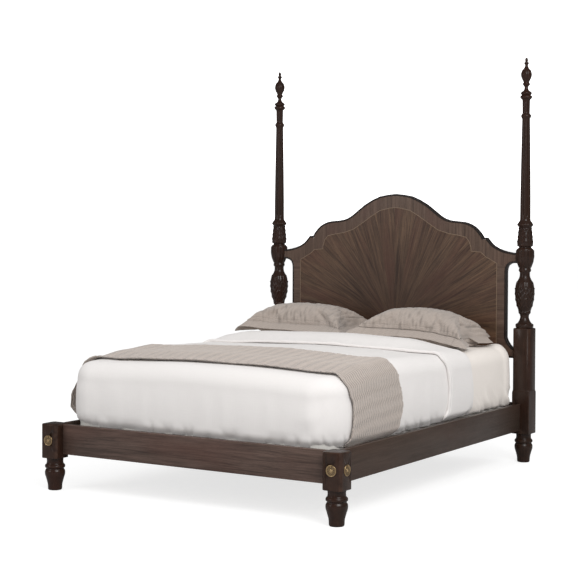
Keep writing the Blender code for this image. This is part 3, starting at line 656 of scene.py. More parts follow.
def acanthus(across: float, up: float) -> float:
    """A row of leaves with a second row behind it, half a leaf on."""
    behind = across - 0.5 if across > 0 else across + 0.5
    return max(leaf(across, up), 0.55 * leaf(behind, min(1.0, up * 0.86)) - 0.1) - 0.35


def beads(across: float, up: float) -> float:
    """A row of small beads."""
    return math.cos(2.0 * math.pi * across) * math.sin(math.pi * up) * 0.5


@dataclass(frozen=True)
class Band:
    """A carved band round a turning, from low to high, with a motif repeated count times."""

    low: float
    high: float
    count: int
    depth: float
    motif: Callable[[float, float], float]
    twist: float = 0.0

    def cut(self, angle: float, height: float) -> float:
        """How far the surface moves out at an angle and a height."""
        if not self.low < height < self.high:
            return 0.0
        up = (height - self.low) / (self.high - self.low)
        across = (angle * self.count / (2.0 * math.pi) + self.twist * up) % 1.0 - 0.5
        return self.depth * self.motif(across, up)


@dataclass
class Turning:
    """One lathe-turned part of a post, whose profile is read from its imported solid."""

    node: str
    bands: tuple[Band, ...] = ()
    step: float = 0.003
    around: int = 96
    facing: float = 0.05
    peg_play: float = 0.0005

    def profile(self, axis: Vector) -> list[tuple[float, float]]:
        """The solid's outer radius at each ring of points, without its sockets and its peg."""
        rings: dict[float, list[float]] = {}
        for vertex in frame["nodes"][self.node].data.vertices:
            out = vertex.co.xy - axis
            if vertex.normal.xy.dot(out) > self.facing * out.length > 0.0:
                rings.setdefault(round(vertex.co.z, 4), []).append(out.length)
        levels = [(z, min(found), max(found)) for z, found in sorted(rings.items())]
        shoulder, last = levels[-2:]
        if abs(shoulder[1] - last[2]) < self.peg_play < shoulder[2] - shoulder[1]:
            levels.pop()
        return [(z, widest) for z, _, widest in levels]

    def build(self, finish: Finish) -> bpy.types.Object:
        """Spins the profile, carves its bands and returns the piece."""
        low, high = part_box(self.node)
        axis = ((low + high) / 2).xy
        rings = curve_through(self.profile(axis), self.step)
        outline = [(0.0, rings[0][0]), *((radius, height) for height, radius in rings), (0.0, rings[-1][0])]
        bm = spun(outline, axis, self.around)
        for vertex in bm.verts:
            out = vertex.co.xy - axis
            if self.bands and out.length > MERGE:
                angle = math.atan2(out.y, out.x) % (2.0 * math.pi)
                move = sum(band.cut(angle, vertex.co.z) for band in self.bands)
                vertex.co.xy = axis + out * (1.0 + move / out.length)
        return make_piece(self.node + "_turned", bm, finish, replaces=[self.node], crisp=55.0)


@dataclass
class Posts:
    """The four posts: square blocks, turned feet, and the carved turnings of the tall head posts."""

    ease: float = 0.0012
    leaf_depth: float = 0.0042
    reed_depth: float = 0.0036

    def build(self) -> None:
        """Builds and dresses every part of the four posts."""
        for side in SIDES:
            for end in ("foot", "head"):
                carry(f"{end}_post_{side}", POST_WALNUT, self.ease)
                Turning(f"{end}_post_foot_{side}", step=0.0025, around=72).build(POST_WALNUT)
            for turning in self.tall(side):
                turning.build(POST_WALNUT)

    def tall(self, side: str) -> list[Turning]:
        """The carved turnings of one head post, from the bottom up."""
        deep, reeds = self.leaf_depth, self.reed_depth
        return [
            Turning(f"head_post_vase_{side}", (
                Band(0.842, 0.975, 6, deep, acanthus),
                Band(0.968, 1.010, 12, 0.5 * deep, tongue)), step=0.0019, around=144),
            Turning(f"head_post_cup_{side}", (
                Band(1.087, 1.186, 8, 0.75 * deep, tongue),
                Band(1.2085, 1.311, 6, deep, acanthus),
                Band(1.3215, 1.3335, 22, 0.5 * deep, beads)), step=0.0019, around=144),
            Turning(f"head_post_column_{side}", (
                Band(1.366, 1.912, 8, reeds, reed),
                Band(1.950, 2.018, 8, 0.8 * reeds, reed)), step=0.004),
            Turning(f"head_post_finial_{side}", (
                Band(2.1215, 2.190, 8, 0.0022, tongue, twist=0.25),), step=0.002),
        ]


# ---- rails and support ---------------------------------------------------------------------------
@dataclass
class Rails:
    """The four rails between the posts."""

    ease: float = 0.0014

    def build(self) -> None:
        """Dresses the rails, with the grain along each, in a lighter copy of the walnut across the bed and a
        darker copy along it: painted light and painted shade.
        """
        for node in ("front_rail", "head_rail"):
            carry(node, RAIL_WALNUT_LIT_X, self.ease)
        for side in SIDES:
            carry(f"side_rail_{side}", RAIL_WALNUT_SHADED_Y, self.ease)


@dataclass
class Support:
    """Cleats, slats, centre beam and its two legs."""

    ease: float = 0.0015
    slats: int = 5

    def build(self) -> None:
        """Dresses the pine parts."""
        for side in SIDES:
            carry(f"cleat_{side}", PINE_Y, self.ease)
        for number in range(1, self.slats + 1):
            carry(f"slat_{number}", PINE_X, self.ease)
        carry("centre_beam", PINE_Y, self.ease)
        for end in ("foot", "head"):
            carry(f"centre_leg_{end}", PINE_Z, self.ease)


# ---- headboard -----------------------------------------------------------------------------------
@dataclass
class Headboard:
    """The shaped board: core, cross-banded border, boxwood line, sunburst field and edge moulding."""

    line: Knots = (
        (0.0, 1.4249), (0.0305, 1.4229), (0.0985, 1.4086), (0.1574, 1.3751), (0.2173, 1.3355),
        (0.2813, 1.2959), (0.3453, 1.2766), (0.4062, 1.267), (0.457, 1.2563), (0.4773, 1.2329),
        (0.4895, 1.1994), (0.4916, 1.1766))
    corner: Knots = ((0.4916, 1.1766), (0.5505, 1.172), (0.583, 1.1446), (0.5972, 1.1385), (0.650, 1.109))
    foot: float = 0.600
    line_wide: float = 0.0026
    veneer: float = 0.0008
    proud: float = 0.0004
    burst: float = 0.72
    wedges: int = 34
    front: float = 1.0262
    mitre: float = 0.35

    def build(self) -> None:
        """Builds the board's pieces."""
        core = solid_copy("headboard_panel")
        outline = self.front_outline(core)
        make_piece("headboard_core", core, BOARD_BACK, replaces=["headboard_panel"])
        self.border(outline)
        self.field()
        moulding = solid_copy("headboard_moulding")
        ease_edges(moulding, 0.0030, segments=3, shortest=0.0, sharpest=50.0)
        make_piece("headboard_bead", moulding, MOULDING_WALNUT, replaces=["headboard_moulding"])

    def front_outline(self, core: bmesh.types.BMesh) -> list[Vector]:
        """The places round the core's front face, in order."""
        core.faces.ensure_lookup_table()
        face = max((face for face in core.faces if face.normal.y < -0.99), key=lambda face: face.calc_area())
        return [vertex.co.copy() for vertex in face.verts]

    def inlay_path(self) -> list[Vector]:
        """The outer edge of the boxwood line, closed, starting at its foot on the left."""
        half = curve_through(self.line, 0.010)
        half += list(self.corner[1:])
        half.append((self.corner[-1][0], self.foot))
        right = [Vector((x, self.front, z)) for x, z in half]
        left = [Vector((-p.x, p.y, p.z)) for p in reversed(right[1:])]
        return left + right

    def plate(self, bm: bmesh.types.BMesh, thick: float) -> None:
        """Gives flat faces on the board's front a thickness towards the foot of the bed."""
        bmesh.ops.translate(bm, verts=doubled(bm), vec=(0.0, -thick, 0.0))
        bmesh.ops.recalc_face_normals(bm, faces=bm.faces)

    def loop_edges(self, bm: bmesh.types.BMesh, path: Sequence[Vector]) -> list[bmesh.types.BMEdge]:
        """Adds a closed chain of edges through places."""
        chain = [bm.verts.new(place) for place in path]
        return [bm.edges.new((a, b)) for a, b in zip(chain, chain[1:] + chain[:1])]

    def border(self, outline: Sequence[Vector]) -> None:
        """The veneer between the moulding and the boxwood line, its grain square to the edge."""
        bm = bmesh.new()
        edges = self.loop_edges(bm, outline) + self.loop_edges(bm, self.inlay_path())
        bmesh.ops.triangle_fill(bm, use_beauty=True, edges=edges, normal=(0.0, -1.0, 0.0))
        out, high = self.corner[-1]
        for sign in (1.0, -1.0):
            slice_through(bm, (sign * out, 0.0, high), (sign * self.mitre, 0.0, 1.0))
        self.plate(bm, self.veneer)

        def place(loop: bmesh.types.BMLoop) -> tuple[float, float]:
            """Grain across the stiles at the sides and upright elsewhere."""
            middle, at = loop.face.calc_center_median(), loop.vert.co
            if abs(middle.x) > out - 0.002 and middle.z < high - self.mitre * (abs(middle.x) - out):
                return at.x, at.z + 3.0
            return at.z, at.x

        map_surface(bm, place)
        make_piece("headboard_border", bm, BORDER_VENEER)

    def field(self) -> None:
        """The boxwood line and the sunburst of veneer wedges inside it."""
        bm = bmesh.new()
        self.loop_edges(bm, self.inlay_path())
        bmesh.ops.contextual_create(bm, geom=bm.edges[:])
        bm.faces.ensure_lookup_table()
        bm.faces[0].normal_update()
        rim = bmesh.ops.inset_region(bm, faces=bm.faces[:], thickness=self.line_wide, use_boundary=True,
                                     use_even_offset=True)["faces"]
        strip = bm.copy()
        strip.faces.ensure_lookup_table()
        inner = [strip.faces[i] for i, face in enumerate(bm.faces) if face not in set(rim)]
        bmesh.ops.delete(strip, geom=inner, context="FACES")
        self.plate(strip, self.veneer + self.proud)
        make_piece("headboard_inlay", strip, INLAY_WOOD)
        bmesh.ops.delete(bm, geom=rim, context="FACES")
        centre = Vector((0.0, self.front, self.burst))
        turn = math.pi / (self.wedges / 2)
        for number in range(self.wedges // 2):
            angle = (number + 0.5) * turn
            slice_through(bm, centre, (-math.sin(angle), 0.0, math.cos(angle)))
        self.plate(bm, self.veneer)

        def place(loop: bmesh.types.BMLoop) -> tuple[float, float]:
            """Grain along each wedge, turned over in every second one."""
            middle, at = loop.face.calc_center_median() - centre, loop.vert.co - centre
            number = round(math.atan2(middle.z, middle.x) / turn)
            along = Vector((math.cos(number * turn), math.sin(number * turn)))
            aside = along.cross(Vector((at.x, at.z)))
            return along.dot(Vector((at.x, at.z))), aside * (-1) ** number + 0.83 * number

        map_surface(bm, place)
        make_piece("headboard_sunburst", bm, SUNBURST_VENEER)


# ---- bolt covers ---------------------------------------------------------------------------------
@dataclass
class BoltCovers:
    """The brass rosettes that swing on pins over the bed bolts.

    field is the ring that darkens between the boss and the rim, and petal the ring that stands in petals.
    """

    around: int = 72
    petals: int = 12
    profile: Knots = (
        (0.0, 0.0), (0.0257, 0.0), (0.0260, 0.0009), (0.0260, 0.0024), (0.0253, 0.0035), (0.0238, 0.0040),
        (0.0222, 0.0034), (0.0211, 0.0021), (0.0198, 0.0021), (0.0186, 0.0030), (0.0170, 0.0037),
        (0.0140, 0.0041), (0.0110, 0.0037), (0.0096, 0.0025), (0.0088, 0.0025), (0.0080, 0.0040),
        (0.0066, 0.0050), (0.0040, 0.0057), (0.0018, 0.0059), (0.0, 0.0060))

    field: tuple[float, float] = (0.0075, 0.0222)
    petal: tuple[float, float] = (0.0100, 0.0190)
    petal_rise: float = 0.00055
    soft: float = 0.002

    def build(self) -> None:
        """Builds a rosette for each joint and dresses its pin and bolt."""
        for joint in frame["joints"]:
            place = joint["child"].removeprefix("cover_")
            self.rosette(place, joint["child"])
            for node, finish in ((f"cover_pin_{place}", BRASS), (f"bed_bolt_{place}", STEEL)):
                solid = frame["nodes"][node]
                solid.data.materials.clear()
                solid.data.materials.append(material_of(finish))
                LOG.info("%s: kept, %s", node, finish.name)

    def rosette(self, place: str, body: str) -> None:
        """Spins one cover, raises its petals and turns it to face out of its block.

        Args:
            place: The joint's place, as in its node names.
            body: The body that the cover is.
        """
        low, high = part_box(f"bolt_cover_{place}")
        size = high - low
        thin = min(range(3), key=lambda axis: size[axis])
        middle = (low + high) / 2
        out = Vector((0.0, 0.0, 0.0))
        out[thin] = math.copysign(1.0, middle[thin])
        bm = spun(self.profile, Vector((0.0, 0.0)), self.around)
        dip = bm.verts.layers.float.new(DIP)
        for vertex in bm.verts:
            reach = vertex.co.xy.length
            turn = math.cos(self.petals * math.atan2(vertex.co.y, vertex.co.x))
            field = ease(self.field[0], self.field[0] + self.soft, reach)
            field *= ease(self.field[1], self.field[1] - 1.1 * self.soft, reach)
            vertex[dip] = field * (0.85 - 0.45 * max(0.0, turn) * ease(0.0195, 0.0165, reach))
            across = (reach - self.petal[0]) / (self.petal[1] - self.petal[0])
            if 0.0 < across < 1.0 and vertex.co.z > 0.001:
                vertex.co.z += self.petal_rise * turn * math.sin(math.pi * across)
        seat = middle - out * size[thin] / 2
        turn = Vector((0.0, 0.0, 1.0)).rotation_difference(out).to_matrix().to_4x4()
        bmesh.ops.transform(bm, matrix=Matrix.Translation(seat) @ turn, verts=bm.verts)
        make_piece(f"rosette_{place}", bm, BRASS, replaces=[f"bolt_cover_{place}"], body=body, crisp=60.0)


# ---- bedding -------------------------------------------------------------------------------------
@dataclass(frozen=True)
class BedForm:
    """The rounded block that every layer of bedding follows, as concentric shells.

    A flat place (s, t) is where a point of cloth would lie if the cloth were spread level with the top.
    The core is the straight part of the top, level the run from there to the rolled edge, roll the edge's
    radius on the innermost shell, and pace how much cloth the edge takes for each radian.
    """

    core_x: float = 0.619
    core_front: float = -0.8625
    core_back: float = 0.8765
    level: float = 0.060
    roll: float = 0.0755
    pace: float = 0.090
    tuck_top: float = 0.362
    tuck_foot: float = 0.312
    tuck_in: float = 0.010
    hem: float = 0.334

    @property
    def rolled(self) -> float:
        """Flat place across the bed where the rolled edge ends and the drop starts."""
        return self.core_x + self.level + self.pace * QUARTER

    def shell(self, s: float, t: float, grow: float, top: Callable[[float, float], float], swell: float = 0.0,
              open_back: bool = True) -> tuple[Vector, Vector]:
        """Lays a flat place over the block.

        Args:
            s: Place across the bed.
            t: Place along the bed.
            grow: How far this shell lies outside the innermost one.
            top: Height of the shell's top at a place of the bed.
            swell: How far the sides swell out half way down.
            open_back: Whether the cloth runs on level past the head end.

        Returns:
            The place in space and the outward direction there.
        """
        back = 9.0 if open_back else self.core_back
        core = Vector((min(max(s, -self.core_x), self.core_x), min(max(t, self.core_front), back)))
        out = Vector((s, t)) - core
        reach = out.length
        if reach <= self.level:
            return Vector((s, t, top(s, t))), Vector((0.0, 0.0, 1.0))
        out /= reach
        over = reach - self.level
        arc = min(over / self.pace, QUARTER)
        bend = self.roll + grow
        down = max(0.0, over - self.pace * QUARTER)
        edge = core + out * self.level
        z = top(edge.x, edge.y) - bend * (1.0 - math.cos(arc)) - down
        start = top(edge.x, edge.y) - bend
        puff = swell * math.sin(math.pi * min(1.0, down / max(0.05, start - self.hem))) if down else 0.0
        tucked = self.tuck_in + max(0.0, min(grow, DUVET_GROW) - SHEET_GROW)
        puff -= tucked * ease(self.tuck_top, self.tuck_foot, z)
        flat = core + out * (self.level + bend * math.sin(arc) + puff)
        normal = Vector((out.x * math.sin(arc), out.y * math.sin(arc), math.cos(arc)))
        return Vector((flat.x, flat.y, z)), normal

    def drop_to(self, t: float, top: Callable[[float, float], float], grow: float, hem: float) -> float:
        """How far across the cloth its side reaches a height.

        Args:
            t: Place along the bed.
            top: Height of the shell's top.
            grow: How far out the shell lies.
            hem: The height asked for.

        Returns:
            The flat place across the bed.
        """
        start = top(self.core_x + self.level, t) - self.roll - grow
        return self.rolled + start - hem


HEM = 0.322
SHEET_GROW, DUVET_GROW, THROW_GROW, FOLD_GROW = 0.003, 0.0165, 0.0235, 0.0250
SHEET_LEVEL, SHEET_CROWN, SHEET_HALF, SHEET_SINK = 0.6475, 0.003, 0.76, 0.014
SHEET_CREASE, SHEET_UNDER, SHEET_SQUARE = 0.016, 0.006, 0.026
DUVET_SIDE_DROP, DUVET_HALF, DUVET_UNEVEN = 0.016, 0.55, 0.0035
DUVET_BROAD, DUVET_TUCK, DUVET_UPRIGHT, DUVET_LUMP = 0.0045, 0.010, 0.0028, 0.011
FOLD_PLUMP, FOLD_LIFT, FOLD_SETTLE = 0.047, 0.0095, 0.85
FOLD_HEM, FOLD_SEAM, FOLD_PUCKER = 0.0045, 0.0065, 0.006
THROW_LIFT, THROW_RIDGE, THROW_EDGE, THROW_FLARE = 0.0085, 0.0016, 0.0085, 0.068
FORM = BedForm()
CROWN: Knots = ((-1.0, 0.652), (-0.88, 0.660), (-0.63, 0.684), (-0.38, 0.697), (-0.10, 0.690), (0.14, 0.680),
                (0.42, 0.670))


def sheet_top(x: float, y: float) -> float:
    """Height of the fitted sheet's top."""
    crown = SHEET_CROWN * (1.0 - (x / SHEET_HALF) ** 2)
    return SHEET_LEVEL + crown - SHEET_SINK * ease(0.42, 0.30, y)


def duvet_top(x: float, y: float) -> float:
    """Height of the duvet's top."""
    drop = DUVET_SIDE_DROP * min(1.0, (x / DUVET_HALF) ** 2)
    return between(CROWN, y) - drop + DUVET_UNEVEN * wander(x, y, 3.1, 4.0)


def fold_top(x: float, y: float) -> float:
    """Height of the turned-back layer's top: it plumps up, then rolls down to the sheet at its head edge."""
    plump = FOLD_PLUMP * ease(0.15, 0.35, y) * ease(0.75, 0.40, x) * ease(-0.84, -0.58, x) + FOLD_LIFT
    drop = (duvet_top(x, y) - sheet_top(x, y) + plump) * ease(0.40, 0.475, y)
    return duvet_top(x, y) + plump - FOLD_SETTLE * drop


def throw_top(x: float, y: float) -> float:
    """Height of the throw's top."""
    return duvet_top(x, y) + THROW_LIFT


def flat_layers(bm: bmesh.types.BMesh) -> tuple[bmesh.types.BMLayerItem, bmesh.types.BMLayerItem]:
    """The layers that hold each point's flat place, across and along."""
    return bm.verts.layers.float["across"], bm.verts.layers.float["along"]


def spread_grid(columns: int, rows: int, size: float = 1.0) -> bmesh.types.BMesh:
    """A grid of cloth with layers for each point's flat place."""
    bm = bmesh.new()
    bmesh.ops.create_grid(bm, x_segments=columns, y_segments=rows, size=size)
    bm.verts.layers.float.new("across")
    bm.verts.layers.float.new("along")
    return bm


def map_flat(bm: bmesh.types.BMesh) -> None:
    """Maps a cloth by its points' flat places."""
    across, along = flat_layers(bm)
    map_surface(bm, lambda loop: (loop.vert[across], loop.vert[along]))


@dataclass
class Layer:
    """One layer of bedding, spread as a grid over the form, closed with a thickness.

    rows and columns are the grid's cells along and across the bed. bead rounds the edge, corner the
    corners, crowd moves cells towards the rim, and follow is how much of the relief shows underneath.
    """

    name: str
    finish: Finish
    replaces: tuple[str, ...]
    grow: float
    thick: float
    columns: int
    rows: int
    top: Callable[[float, float], float]
    front: Knots
    back: Knots
    hem: float
    swell: float = 0.010
    bead: float = 0.010
    corner: float = 0.0
    relief: Callable[[float, float, Vector], float] | None = None
    open_back: bool = True
    crowd: float = 0.6
    follow: float = 0.0

    def spread(self) -> bpy.types.Object:
        """Lays the grid over the form, thickens it, maps it and returns the piece."""
        bm = spread_grid(self.columns, self.rows)
        across, along = flat_layers(bm)
        inner = bm.verts.layers.float_vector.new("inner")
        for vertex in bm.verts:
            u, v = (self.crowded(part) for part in vertex.co.xy)
            s, t = self.flat(u, v)
            vertex[across], vertex[along] = s, t
            place, normal = FORM.shell(s, t, self.grow, self.top, self.swell, self.open_back)
            rim = min(1.0 - abs(u), 1.0 - abs(v)) * self.half_size()
            thin = math.sqrt(max(0.0, 1.0 - (1.0 - min(1.0, rim / self.bead)) ** 2))
            lift = self.relief(s, t, place) if self.relief else 0.0
            vertex[inner] = place - normal * self.thick * (0.5 + 0.5 * thin) + normal * lift * self.follow
            vertex.co = place - normal * self.thick * (0.5 - 0.5 * thin) + normal * lift
        for vertex in doubled(bm):
            vertex.co = vertex[inner]
        bmesh.ops.recalc_face_normals(bm, faces=bm.faces)
        map_flat(bm)
        return make_piece(self.name, bm, self.finish, replaces=self.replaces, crisp=80.0)

    def half_size(self) -> float:
        """Rough half of the strip's short side, which turns grid places into metres."""
        return (self.back[0][1] - self.front[0][1]) / 2

    def crowded(self, part: float) -> float:
        """Moves grid places towards the rim, where the edge is rounded."""
        return (1.0 - self.crowd) * part + self.crowd * part * (1.5 - 0.5 * part * part)

    def flat(self, u: float, v: float) -> tuple[float, float]:
        """The flat place of a grid place from -1 to 1 across and along."""
        middle = (self.front[0][1] + self.back[0][1]) / 2
        guess = middle + v * self.half_size()
        limit = FORM.drop_to(guess, self.top, self.grow, self.hem)
        if self.corner:
            near = (1.0 - abs(v)) * self.half_size()
            limit -= self.corner - math.sqrt(max(0.0, self.corner ** 2 - max(0.0, self.corner - near) ** 2))
        s = u * limit
        t = between(self.front, abs(s)) * (0.5 - 0.5 * v) + between(self.back, abs(s)) * (0.5 + 0.5 * v)
        return s, t


def throw_ripple(s: float, t: float, place: Vector) -> float:
    """Wavy quilted ridges along the throw, its lifted front edge and its flare at the left."""
    ridge = THROW_RIDGE * math.sin(THROW_ROWS * t + THROW_SWAY * math.sin(THROW_WAVE * s))
    edge = THROW_EDGE * ease(0.034, 0.004, t - between(THROW_FRONT, abs(s)))
    flare = THROW_FLARE * ease(-0.76, -0.94, s) * ease(-1.05, -0.97, s) * ease(-0.50, -0.86, t)
    return ridge + edge + flare + 0.0035 * wander(s, t, 7.7, 5.0)


def fold_ripple(s: float, t: float, place: Vector) -> float:
    """Puckers of the turned-back duvet, with its stitched hem."""
    hem = t - between(FOLD_FRONT, abs(s))
    stitch = FOLD_HEM * ease(0.030, 0.010, hem) - FOLD_SEAM * math.exp(-((hem - 0.027) / 0.004) ** 2)
    pucker = FOLD_PUCKER * wander(s, t * 0.25, 2.3, 20.0) * math.exp(-max(0.0, hem) / 0.05) + 0.002
    return stitch + pucker + 0.005 * wander(s, t, 5.2, 4.0)


THROW_FRONT: Knots = ((0.0, -0.876), (0.68, -0.864), (0.75, -0.889), (0.80, -0.880), (0.86, -0.856),
                      (0.95, -0.862), (1.0, -0.882), (1.05, -0.930))
THROW_BACK: Knots = ((0.0, -0.380), (0.68, -0.398), (0.75, -0.410), (0.82, -0.385), (0.90, -0.365),
                     (0.95, -0.361), (1.04, -0.384))
FOLD_FRONT: Knots = ((0.0, 0.140), (0.70, 0.150), (0.75, 0.130), (0.80, 0.140), (0.90, 0.142), (1.0, 0.130),
                     (1.05, 0.105))
FOLD_BACK: Knots = ((0.0, 0.470), (0.70, 0.448), (0.80, 0.422), (0.97, 0.416), (1.05, 0.370))


def duvet_wrinkle(s: float, t: float, place: Vector) -> float:
    """Broad soft folds, tight tucks above the rails and lumps round the front corners."""
    around = place.x + place.y
    broad = DUVET_BROAD * wander(s, t, 1.3, 3.2)
    tuck = DUVET_TUCK * ease(0.395, 0.335, place.z) * crease(around + 0.4 * place.z, place.z * 0.3, 9.1, 14.0)
    side = ease(0.60, 0.50, place.z)
    corner = ease(0.16, 0.02, abs(abs(s) - 0.70)) * ease(-0.72, -0.90, t)
    upright = DUVET_UPRIGHT * side * wander(around, place.z * 0.15, 4.4, 15.0)
    lump = DUVET_LUMP * corner * wander(around * 0.5, place.z, 6.2, 11.0)
    return broad - tuck + upright + lump


def sheet_wrinkle(s: float, t: float, place: Vector) -> float:
    """Slanting creases where the fitted sheet is tucked in near the head posts, and its squarer corners."""
    low = ease(0.47, 0.35, place.z)
    slant = crease(place.y + 0.8 * place.z, 0.3 * place.z, 6.6, 17.0)
    under = SHEET_UNDER * ease(0.42, 0.34, t)
    past = Vector((max(0.0, abs(s) - FORM.core_x), max(0.0, t - FORM.core_back)))
    square = 2.0 * past.x * past.y / max(MERGE, past.length_squared)
    corner = SHEET_SQUARE * square * ease(0.03, 0.12, past.length)
    folds = SHEET_CREASE * low * (slant - 0.3) * ease(0.45, 0.60, t)
    return 0.0007 * wander(s, t, 8.1, 9.0) + folds + corner - under


@dataclass
class Sham:
    """A quilted pillow sham: an inflated pad inside a flat stitched flange.

    tilt raises it by its place across, stitched holds the quilting lines along and across from its middle,
    and droops how fast the flange falls at its ends, front and back.
    """

    side: str
    centre: tuple[float, float]
    seed: float
    long: float = 0.700
    deep: float = 0.470
    flange: float = 0.050
    cells: tuple[int, int] = (88, 60)
    start: float = 0.020
    seam: float = 0.0030
    rise: float = 0.120
    sink: float = 0.088
    rest: float = 0.6525
    frames: int = 22
    tilt: Knots = ((-0.40, 0.0), (0.40, 0.0))
    stitched: tuple[tuple[float, ...], tuple[float, ...]] = ((0.212, 0.233), (0.300, 0.348))
    droops: tuple[float, float, float] = (0.80, 0.60, 0.40)
    stitch: float = 0.0045
    stitch_depth: float = 0.0016
    crinkle: float = 0.0040
    soft_rings: int = 8
    soft_rounds: int = 160
    flange_steps: int = 5

    def build(self) -> bpy.types.Object:
        """Makes the pad, inflates it, lays it on the bed and adds the flange."""
        pad_name = f"sham_{self.side}_pad"
        pad = place_in_scene(pad_name, mesh_from(pad_name, self.pad(self.start)))
        self.inflate(pad)
        bm = bmesh.new()
        bm.from_mesh(pad.data)
        bpy.data.objects.remove(pad)
        self.settle(bm)
        self.relax(bm)
        self.add_flange(bm)
        self.lay(bm)
        bm = self.finer(bm)
        self.quilt(bm)
        map_flat(bm)
        piece = make_piece(f"sham_{self.side}", bm, TAUPE_SHAM, replaces=[f"pillow_{self.side}"], crisp=80.0)
        return piece

    def relax(self, bm: bmesh.types.BMesh) -> None:
        """Softens the pad's rings of points near the seam, most at the seam."""
        across, along = flat_layers(bm)
        cell = self.long / self.cells[0]
        rings: dict[int, list[bmesh.types.BMVert]] = {}
        for vertex in bm.verts:
            inward = min(self.long / 2 - abs(vertex[across]), self.deep / 2 - abs(vertex[along]))
            rings.setdefault(round(inward / cell), []).append(vertex)
        for ring in range(self.soft_rings):
            self.even_out(rings[ring], across, along, rounds=round(self.soft_rounds * 0.6 ** ring))

    def finer(self, bm: bmesh.types.BMesh) -> bmesh.types.BMesh:
        """The pad subdivided once, smoothly."""
        rough = place_in_scene("sham_fine", mesh_from("sham_fine", bm))
        smooth = rough.modifiers.new("Smooth", "SUBSURF")
        smooth.levels = smooth.render_levels = 1
        graph = bpy.context.evaluated_depsgraph_get()
        fine = bmesh.new()
        fine.from_mesh(bpy.data.meshes.new_from_object(rough.evaluated_get(graph)))
        bpy.data.objects.remove(rough)
        return fine

    def quilt(self, bm: bmesh.types.BMesh) -> None:
        """Stitches lines parallel to the edges, gathers the cloth in small upright crinkles, and marks the
        stitch lines and the crinkles' hollows for painted shade.
        """
        across, along = flat_layers(bm)
        dip = bm.verts.layers.float.new(DIP)
        bm.normal_update()
        moves = []
        for vertex in bm.verts:
            s, t = vertex[across], vertex[along]
            lines = [abs(abs(t) - at) for at in self.stitched[0]]
            lines += [abs(abs(s) - at) for at in self.stitched[1]]
            groove = sum(math.exp(-(gap / self.stitch) ** 2) for gap in lines)
            near = math.exp(-min(lines) / 0.040)
            patch = 0.5 + 0.5 * wander(s, t, self.seed + 1.7, 6.0)
            crinkle = (0.2 + 0.8 * patch + 0.5 * near) * wander(s, t * 0.25, self.seed + 4.2, 62.0)
            crinkle *= ease(0.0, -0.012, max(abs(s) - self.long / 2, abs(t) - self.deep / 2)) + 0.3
            # Painted shade: the dip mask rises where the stitch lines and the crinkles press the cloth in.
            vertex[dip] = min(1.0, max(0.0, 0.5 * groove - 1.5 * crinkle))
            moves.append(vertex.normal * (self.crinkle * crinkle - self.stitch_depth * groove))
        for vertex, move in zip(bm.verts, moves):
            vertex.co += move
            vertex.co.z = max(vertex.co.z, self.rest)

    def pad(self, rise: float) -> bmesh.types.BMesh:
        """Two sheets joined all round by a narrow seam, domed a little."""
        bm = spread_grid(*self.cells, size=0.5)
        across, along = flat_layers(bm)
        up = bm.verts.layers.float.new("up")
        for vertex in bm.verts:
            u, v = 2.0 * vertex.co.x, 2.0 * vertex.co.y
            vertex[across], vertex[along] = vertex.co.x * self.long, vertex.co.y * self.deep
            dome = math.sqrt(max(0.0, 1.0 - abs(u) ** 2.6)) * math.sqrt(max(0.0, 1.0 - abs(v) ** 2.6))
            vertex[up] = self.seam / 2 + rise * dome
            vertex[up] += 0.0015 * dome * wander(u, v, self.seed, 9.0)
        lower = set(doubled(bm))
        for vertex in bm.verts:
            high = -vertex[up] if vertex in lower else vertex[up]
            vertex.co = (vertex[across], vertex[along], high)
        bmesh.ops.recalc_face_normals(bm, faces=bm.faces)
        return bm

    def inflate(self, pad: bpy.types.Object) -> None:
        """Blows the pad up as cloth and keeps the result as its mesh."""
        cloth = pad.modifiers.new("Cloth", "CLOTH")
        settings = cloth.settings
        settings.quality = 6
        settings.mass = 0.25
        settings.tension_stiffness = settings.compression_stiffness = 18.0
        settings.shear_stiffness = 6.0
        settings.bending_stiffness = 0.35
        settings.use_pressure = True
        settings.uniform_pressure_force = 5.0
        settings.effector_weights.gravity = 0.0
        cloth.collision_settings.use_collision = False
        cloth.point_cache.frame_start, cloth.point_cache.frame_end = 1, self.frames
        scene = bpy.context.scene
        for number in range(1, self.frames + 1):
            scene.frame_set(number)
        graph = bpy.context.evaluated_depsgraph_get()
        blown = bpy.data.meshes.new_from_object(pad.evaluated_get(graph))
        pad.modifiers.clear()
        pad.data = blown
        scene.frame_set(1)

    def settle(self, bm: bmesh.types.BMesh) -> None:
        """Scales the pad to its heights above and below the seam, so that it lies flat underneath."""
        tall = max(vertex.co.z for vertex in bm.verts)
        LOG.info("sham_%s: blown %.3f tall, %.3f wide", self.side, tall, max(v.co.x for v in bm.verts) * 2)
        for vertex in bm.verts:
            z = vertex.co.z / tall
            vertex.co.z = self.rise * z ** 0.8 if z > 0 else -self.sink * min(1.0, -z * 1.5)

